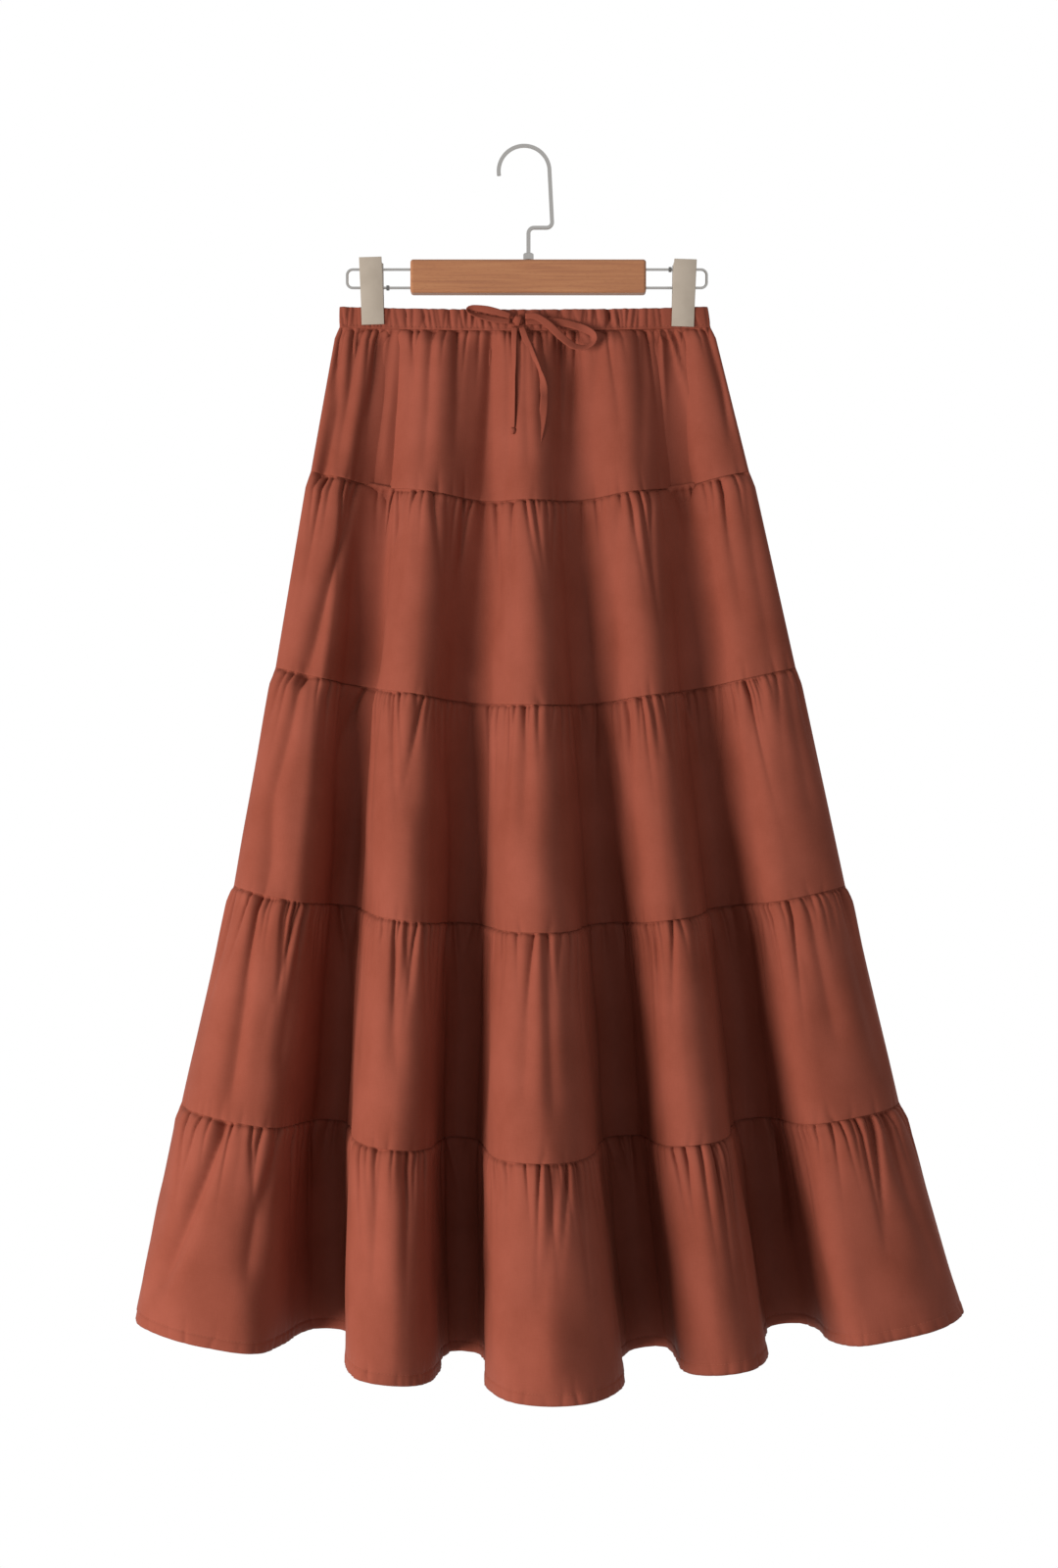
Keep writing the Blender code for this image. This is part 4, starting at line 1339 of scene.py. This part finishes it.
# Each tier's main creases, from the -X side to the +X side.
# A row here and below holds the x and z of each point of the line in turn, then the width and the depth at its ends.
FRONT_CREASES: dict[int, tuple[Crease, ...]] = {
    1: laid(
        (-147, -149, -154, -205, -163, -253, -167, -275, 3, 5, 4.5, 5),
        (-168, -232, -178, -279, -186, -310, 4, 5, 4.1, 8),
        (-125, -153, -132, -205, -143, -253, -150, -301, 2.5, 6, 2.5, 2.2),
        (-117, -153, -119, -227, -122, -279, -125, -305, 2.6, 5, 3.1, 4.6),
        (-99, -153, -103, -227, -105, -244, 2.2, 3.5, 1.8, 0.8), (-82, -153, -85, -227, -89, -284, 2.6, 5, 4.2, 2.5),
        (-60, -149, -60, -227, -62, -266, 2.4, 4, 3.6, 1.1), (-29, -149, -31, -218, -36, -305, 2.8, 5.5, 4.5, 5),
        (-12, -149, -14, -227, -14, -288, 2.2, 4, 2.2, 2.7), (2, -153, 2, -218, 4, -279, 2.4, 4, 2.7, 2.4),
        (16, -149, 15, -253, 2.2, 3.5, 1.7, 2.1), (34, -153, 43, -218, 49, -288, 2.8, 6, 2.8, 2.2),
        (72, -149, 64, -205, 59, -253, 2.6, 5, 2.7, 1), (81, -149, 85, -244, 2.2, 4, 1.3, 1),
        (107, -149, 106, -218, 104, -284, 2.6, 5, 2.2, 1.7), (127, -149, 136, -227, 143, -305, 2.8, 5.5, 2.4, 8.3),
        (146, -149, 151, -235, 2.2, 4, 1.3, 0.8), (159, -149, 176, -205, 191, -253, 205, -305, 2.8, 6, 4.8, 2.4),
    ),
    2: laid(
        (-152, -289, -159, -345, -175, -393, -188, -445, -197, -472, 3, 7, 2.8, 9.1),
        (-122, -289, -127, -345, -133, -419, -138, -472, 3, 6, 6, 6.2),
        (-104, -284, -110, -345, -115, -415, 2.4, 5, 3.8, 1.5), (-95, -284, -97, -358, 2.2, 4, 2.2, 1.1),
        (-80, -289, -76, -371, 2.2, 4, 1.7, 0.8), (-64, -289, -70, -367, -71, -428, 2.2, 5, 1, 1),
        (-37, -284, -38, -358, -45, -467, 3, 6, 2.5, 5), (-10, -289, -11, -367, -9, -450, 2.4, 5, 2.9, 2.4),
        (0, -289, 1, -349, 2, 3, 1.1, 0.6), (17, -289, 22, -371, 2.2, 4, 1.8, 1.4),
        (47, -284, 56, -367, 56, -415, 58, -454, 3, 5, 3.1, 2.5), (60, -289, 57, -345, 2.2, 3, 2.2, 1.1),
        (88, -284, 83, -367, 75, -467, 2.4, 6, 2.4, 1.3), (100, -289, 96, -384, 2.2, 4.5, 1.7, 0.8),
        (113, -289, 114, -371, 2.2, 4, 1.3, 0.8), (139, -284, 150, -345, 162, -419, 166, -467, 2.8, 8, 4.8, 2.9),
        (163, -284, 171, -332, 2, 3, 0.8, 0.4), (174, -284, 184, -345, 195, -424, 2.6, 6, 3.4, 1.5),
        (195, -284, 206, -367, 223, -467, 2.2, 5, 1, 1),
    ),
    3: laid(
        (-194, -459, -209, -520, -226, -581, -227, -638, -233, -664, 3, 7, 3.6, 5.3),
        (-186, -455, -195, -507, 2.2, 3, 1, 0.6), (-137, -455, -143, -520, -150, -581, -159, -660, 3.2, 6, 3.5, 5),
        (-120, -464, -125, -528, 2.2, 4, 1, 0.8), (-104, -466, -109, -511, 2, 3, 1.1, 0.6),
        (-93, -464, -97, -520, -103, -590, 2.4, 6, 2, 2.2), (-50, -464, -48, -550, -52, -612, 3, 6, 2.5, 2.2),
        (-42, -547, -42, -612, -40, -660, 5, 6, 2.2, 3.1), (-24, -472, -19, -550, -18, -603, 2.6, 5, 1.7, 1.8),
        (2, -468, 1, -550, 0, -612, 2.6, 6, 4.8, 2.2), (11, -472, 13, -528, 2, 3, 1, 0.6),
        (49, -472, 50, -550, 54, -594, 2.6, 5, 1.3, 1), (73, -464, 70, -520, 85, -568, 87, -594, 3, 5, 2.2, 1.5),
        (80, -468, 86, -533, 2.2, 3.5, 1, 0.7), (120, -459, 121, -533, 2.4, 5, 2, 1.5),
        (134, -464, 136, -511, 2, 3, 0.6, 0.4), (162, -455, 164, -528, 170, -568, 3, 7, 3.6, 1.3),
        (196, -455, 202, -520, 207, -590, 2.8, 7, 3.9, 1.8), (207, -455, 216, -533, 2.4, 4, 2.9, 1.4),
        (223, -451, 231, -502, 2.2, 3.5, 1.3, 0.7), (231, -451, 243, -520, 257, -590, 2.6, 6, 2, 1.4),
        (244, -449, 255, -515, 2.2, 4, 1.3, 0.7),
    ),
    4: laid(
        (-247, -650, -254, -690, 2, 3, 1.1, 0.6), (-235, -648, -244, -712, -250, -760, -263, -844, 3, 6.5, 3.9, 6.6),
        (-225, -650, -236, -704, 2.2, 3.5, 2.7, 1.8), (-201, -650, -211, -721, 2.4, 4, 1.8, 1.1),
        (-182, -650, -189, -712, -204, -760, -215, -817, 2.6, 7, 2, 2.1), (-167, -650, -156, -712, 2.6, 5, 2.2, 1.5),
        (-122, -661, -123, -730, 2.2, 4, 0.8, 0.7), (-102, -656, -107, -734, -116, -787, -114, -822, 3, 6, 4.8, 2.7),
        (-94, -661, -98, -712, 2, 3, 1, 0.6), (-3, -674, -5, -743, 2, 4, 0.7, 0.7),
        (7, -674, 5, -734, 4, -787, 0, -848, 2.6, 5.5, 3.6, 2.4),
        (18, -674, 21, -743, 23, -813, 25, -857, 2.6, 5.5, 4.5, 2.8), (31, -674, 30, -747, 2.2, 4, 1.1, 0.8),
        (41, -674, 49, -730, 2, 3.5, 0.7, 0.6), (140, -652, 140, -712, 2, 4, 0.6, 0.6),
        (178, -643, 192, -734, 202, -817, 3, 7, 1.3, 2.1), (198, -643, 204, -734, 2.4, 5, 0.7, 0.7),
        (214, -639, 223, -717, 2.2, 4, 0.8, 0.7), (235, -636, 245, -704, 253, -743, 2.6, 5, 3.1, 1.8),
        (246, -634, 261, -712, 278, -791, 2.8, 6, 3.4, 1.8), (271, -633, 279, -695, 2.4, 3.5, 2.9, 0.8),
        (281, -633, 295, -712, 307, -760, 327, -826, 2.8, 7, 2.7, 3.1),
    ),
    5: laid(
        (-302, -844, -300, -887, -305, -909, 2.6, 4, 2.9, 1.4), (-293, -843, -291, -878, 2.4, 3, 2.9, 0.8),
        (-264, -843, -274, -887, -289, -927, -311, -979, -324, -1010, 3.6, 6.5, 9.4, 8.4),
        (-256, -843, -264, -892, -269, -909, 2.4, 4, 2.2, 1.1),
        (-248, -844, -255, -909, -260, -935, 2.4, 4.5, 1.8, 0.8),
        (-230, -846, -244, -909, -248, -927, 2.6, 5, 2.2, 1.5),
        (-211, -849, -220, -905, -238, -953, -247, -1005, 3.4, 8, 4.8, 4.8),
        (-195, -849, -208, -905, -214, -935, 2.6, 5, 1.3, 1), (-183, -849, -192, -900, 2.2, 4, 0.8, 0.7),
        (-124, -862, -128, -905, -132, -953, -135, -1014, 3, 6, 5.5, 4.1),
        (-110, -866, -110, -909, -111, -928, 3, 4, 7.8, 1.7), (-94, -869, -96, -914, 2.2, 3.5, 1.3, 0.6),
        (-73, -871, -77, -931, 2.4, 4, 1.4, 0.7), (-25, -879, -28, -931, 2.4, 4, 1.5, 0.7),
        (-13, -879, -13, -927, -18, -984, 2.8, 5.5, 3.9, 1.1), (8, -881, 6, -928, 2.2, 4, 1.3, 0.7),
        (28, -879, 27, -927, 22, -979, 15, -1036, 3, 7, 4.8, 2.2), (46, -878, 46, -931, 2.2, 4, 1.7, 0.7),
        (59, -875, 62, -918, 2, 3, 1, 0.4), (113, -862, 115, -918, 2.4, 4, 1, 0.7),
        (152, -860, 150, -931, 2.4, 5, 1, 0.8), (165, -860, 167, -909, 2.2, 4, 0.8, 0.6),
        (186, -858, 189, -909, 2.2, 4, 0.7, 0.6), (200, -853, 207, -909, 2.6, 4.5, 1.7, 0.8),
        (226, -849, 226, -909, 229, -957, 3, 6, 2.8, 2), (234, -851, 235, -935, 2.4, 4, 1.5, 0.8),
        (248, -849, 254, -905, 2.4, 4, 1, 0.7), (260, -846, 275, -914, 2.4, 5, 1.3, 0.8),
        (276, -846, 286, -905, 2.2, 4, 1.3, 0.7), (289, -843, 306, -909, 2.4, 4.5, 1.8, 1),
        (303, -840, 316, -892, 2.4, 3.5, 2, 0.6), (318, -838, 334, -905, 351, -953, 373, -1010, 3, 7, 4.2, 2.1),
    ),
}

BACK_CREASES: dict[int, tuple[Crease, ...]] = {
    1: laid(
        (-110, -140, -118, -220, -126, -290, 2.8, 5.5, 3, 2.6), (-48, -140, -50, -230, 2.4, 4, 2.4, 1),
        (22, -140, 24, -210, 28, -285, 2.8, 6, 3.4, 2.4), (84, -140, 90, -240, 2.4, 4.5, 2.2, 1),
        (136, -140, 150, -220, 168, -300, 3, 6, 3.2, 3.6),
    ),
    2: laid(
        (-160, -270, -172, -350, -186, -440, 3, 6.5, 3.4, 4.4), (-84, -280, -88, -380, 2.4, 5, 2.8, 1),
        (6, -290, 10, -370, 12, -460, 2.8, 6, 3.2, 2.8), (98, -280, 106, -360, 2.4, 4.5, 2.6, 1),
        (176, -275, 190, -360, 206, -450, 3, 7, 3.4, 3.8),
    ),
    3: laid(
        (-196, -445, -212, -540, -224, -620, 3, 7, 3.2, 3.4), (-58, -460, -62, -560, 2.6, 5, 3, 1.2),
        (40, -465, 44, -560, 44, -650, 3, 6, 3, 2.4), (150, -455, 162, -540, 170, -600, 2.6, 6, 3.4, 1.4),
    ),
    4: laid(
        (-228, -640, -240, -740, -254, -830, 3, 7, 3.2, 4), (-104, -650, -110, -760, 2.6, 5.5, 4, 1.6),
        (-20, -660, -22, -780, -20, -850, 3, 6, 3.4, 2.6), (112, -655, 120, -760, 2.6, 6, 3.8, 1.4),
        (214, -640, 230, -740, 240, -800, 3, 7, 3.4, 2.8),
    ),
    5: laid(
        (-262, -830, -280, -920, -304, -1010, 3.4, 7, 6, 3), (-176, -835, -182, -930, 2.8, 6, 4.4, 1.6),
        (-66, -845, -72, -940, -78, -1000, 3, 7, 4.4, 2.2), (52, -845, 56, -930, 2.8, 5.5, 4.6, 1.4),
        (148, -840, 160, -940, 168, -1000, 3.2, 7, 4.6, 2.6), (282, -825, 304, -920, 330, -1010, 3.4, 7, 5.4, 2.6),
    ),
}


@dataclass
class Skirt:
    """The whole skirt: casing, five tiers and their stitching."""

    sight: Sight = field(default_factory=Sight)
    front_spacing: float = 1.0
    back_spacing: float = 1.6
    front_drawn: float = 0.22
    back_drawn: float = 0.9

    def build(self, cloth: Material, thread: Material) -> None:
        """Builds every cloth piece.

        Args:
            cloth: The cotton.
            thread: The sewing thread.
        """
        for facing, folds, creases, swells, spacing, drawn in (
            (Facing.FRONT, FRONT_FOLDS, FRONT_CREASES, fold_swells(FRONT_FOLDS), self.front_spacing, self.front_drawn),
            (Facing.BACK, BACK_FOLDS, BACK_CREASES, {}, self.back_spacing, self.back_drawn),
        ):
            drape = Drape(facing, folds)
            casing = WaistCasing(drape)
            casing.build(cloth)
            word = facing.word
            normal = np.broadcast_to(np.array([0.0, float(facing.value), 0.0]), casing.outer.shape)
            stitches = StitchRow(f"casing_stitches_{word}", pitch=3.2, length=2.5, radius=0.24, raise_by=0.12)
            stitches.build(casing.outer, normal, thread)
            above = None
            for style in TIERS:
                number = style.number
                sharp, broad = creases[number], swells.get(number, ())
                eased, last = style.eased(drawn), number == len(TIERS)
                panel = ClothPanel(eased, drape, spacing, sharp, broad, self.sight, above, hem=last)
                panel.build(cloth)
                above = panel.foot
            row = int(np.argmin(np.abs(panel.rows - (panel.rows[-1] - panel.hem_depth))))
            line = panel.points[row] + panel.outward[row] * panel.thickness / 2 * MM
            stitches = StitchRow(f"hem_stitches_{word}", pitch=3.0, length=2.3, radius=0.22, raise_by=0.1)
            stitches.build(line, panel.outward[row], thread)


# ---- The studio


@dataclass
class Studio:
    """A white room with a large soft key light from the front left, a weak fill and a pale floor below the view."""

    sight: Sight
    lens: float = 50.0
    floor_height: float = -1.55
    white: str = "#FFFFFF"
    ambient: float = 0.33
    mirrored: float = 0.55
    aim: Triple = (0.0, 0.0, -0.6)
    floor_radius: float = 0.75

    def camera(self) -> None:
        """Sets up the camera, level and square to the front."""
        data = bpy.data.cameras.new("camera")
        data.lens = self.lens
        data.sensor_width = 36.0
        data.clip_end = 50.0
        camera = bpy.data.objects.new("camera", data)
        camera.location = (self.sight.side, -self.sight.distance, self.sight.height)
        camera.rotation_euler = (math.pi / 2, 0.0, 0.0)
        bpy.context.scene.collection.objects.link(camera)
        bpy.context.scene.camera = camera

    def area_light(self, name: str, place: Triple, size: Pair, power: float) -> None:
        """Adds a soft rectangular light aimed at the skirt's middle, which the metal doesn't show as a spot.

        Args:
            name: Its name.
            place: Where it stands, in metres.
            size: Its width and height, in metres.
            power: Its power, in watts.
        """
        data = bpy.data.lights.new(name, "AREA")
        data.shape = "RECTANGLE"
        data.size, data.size_y = size
        data.energy = power
        light = bpy.data.objects.new(name, data)
        light.visible_glossy = False
        away = np.array(place) - np.array(self.aim)
        light.location = place
        light.rotation_euler = (
            math.acos(away[2] / np.linalg.norm(away)), 0.0, math.atan2(away[1], away[0]) + math.pi / 2
        )  # fmt: skip
        bpy.context.scene.collection.objects.link(light)

    def room(self) -> None:
        """Makes the room white to the eye but dimmer as a light, so that deep folds stay dark."""
        world = bpy.data.worlds.new("white_room")
        bpy.context.scene.world = world
        world.use_nodes = True
        tree = world.node_tree
        tree.nodes.clear()
        sight = add_node(tree, "LightPath")
        unseen = add_node(tree, "MapRange", {
            "Value": sight.outputs["Is Glossy Ray"], "To Min": self.ambient, "To Max": self.mirrored,
        })  # fmt: skip
        strength = add_node(tree, "MapRange", {
            "Value": sight.outputs["Is Camera Ray"], "To Min": unseen.outputs["Result"], "To Max": 1.0,
        })  # fmt: skip
        back = add_node(tree, "Background", {"Color": linear(self.white), "Strength": strength.outputs["Result"]})
        add_node(tree, "OutputWorld", {"Surface": back.outputs["Background"]})

    def floor(self) -> None:
        """Lays the round floor."""
        turn = ring_turns(64)
        x, y = np.cos(turn) * self.floor_radius, np.sin(turn) * self.floor_radius
        rim = np.stack([x, y, np.full_like(turn, self.floor_height)], -1)
        made = mesh_object("floor", rim, [np.arange(len(turn))[None]])
        made.data.materials.append(StudioFloor().build())

    def build(self) -> None:
        """Builds the whole studio."""
        self.room()
        self.floor()
        self.area_light("key_light", (-2.5, -1.8, -0.95), (1.6, 2.0), 134.0)
        self.area_light("fill_light", (2.4, -2.6, -0.3), (1.8, 2.2), 10.0)
        self.area_light("back_light", (1.2, 2.6, 0.3), (1.8, 1.8), 52.0)
        bpy.context.scene.view_settings.view_transform = "Standard"


FRAME: dict[str, Any] = {}


def main() -> None:
    """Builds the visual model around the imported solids."""
    logging.basicConfig(level=logging.INFO, format="%(message)s")
    FRAME.update(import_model())
    studio = Studio(Sight())
    studio.camera()
    cloth, thread = CottonPoplin().build(), SewingThread().build()
    Drawstring().build(cloth)
    Hanger().build({
        "wood": VarnishedBeech().build(), "wire": PLATED_WIRE.build(),
        "clip": CoatedClip().build(), "spring": OILED_SPRING.build(),
    })  # fmt: skip
    Skirt(sight=studio.sight).build(cloth, thread)
    studio.build()


if __name__ == "__main__":
    main()
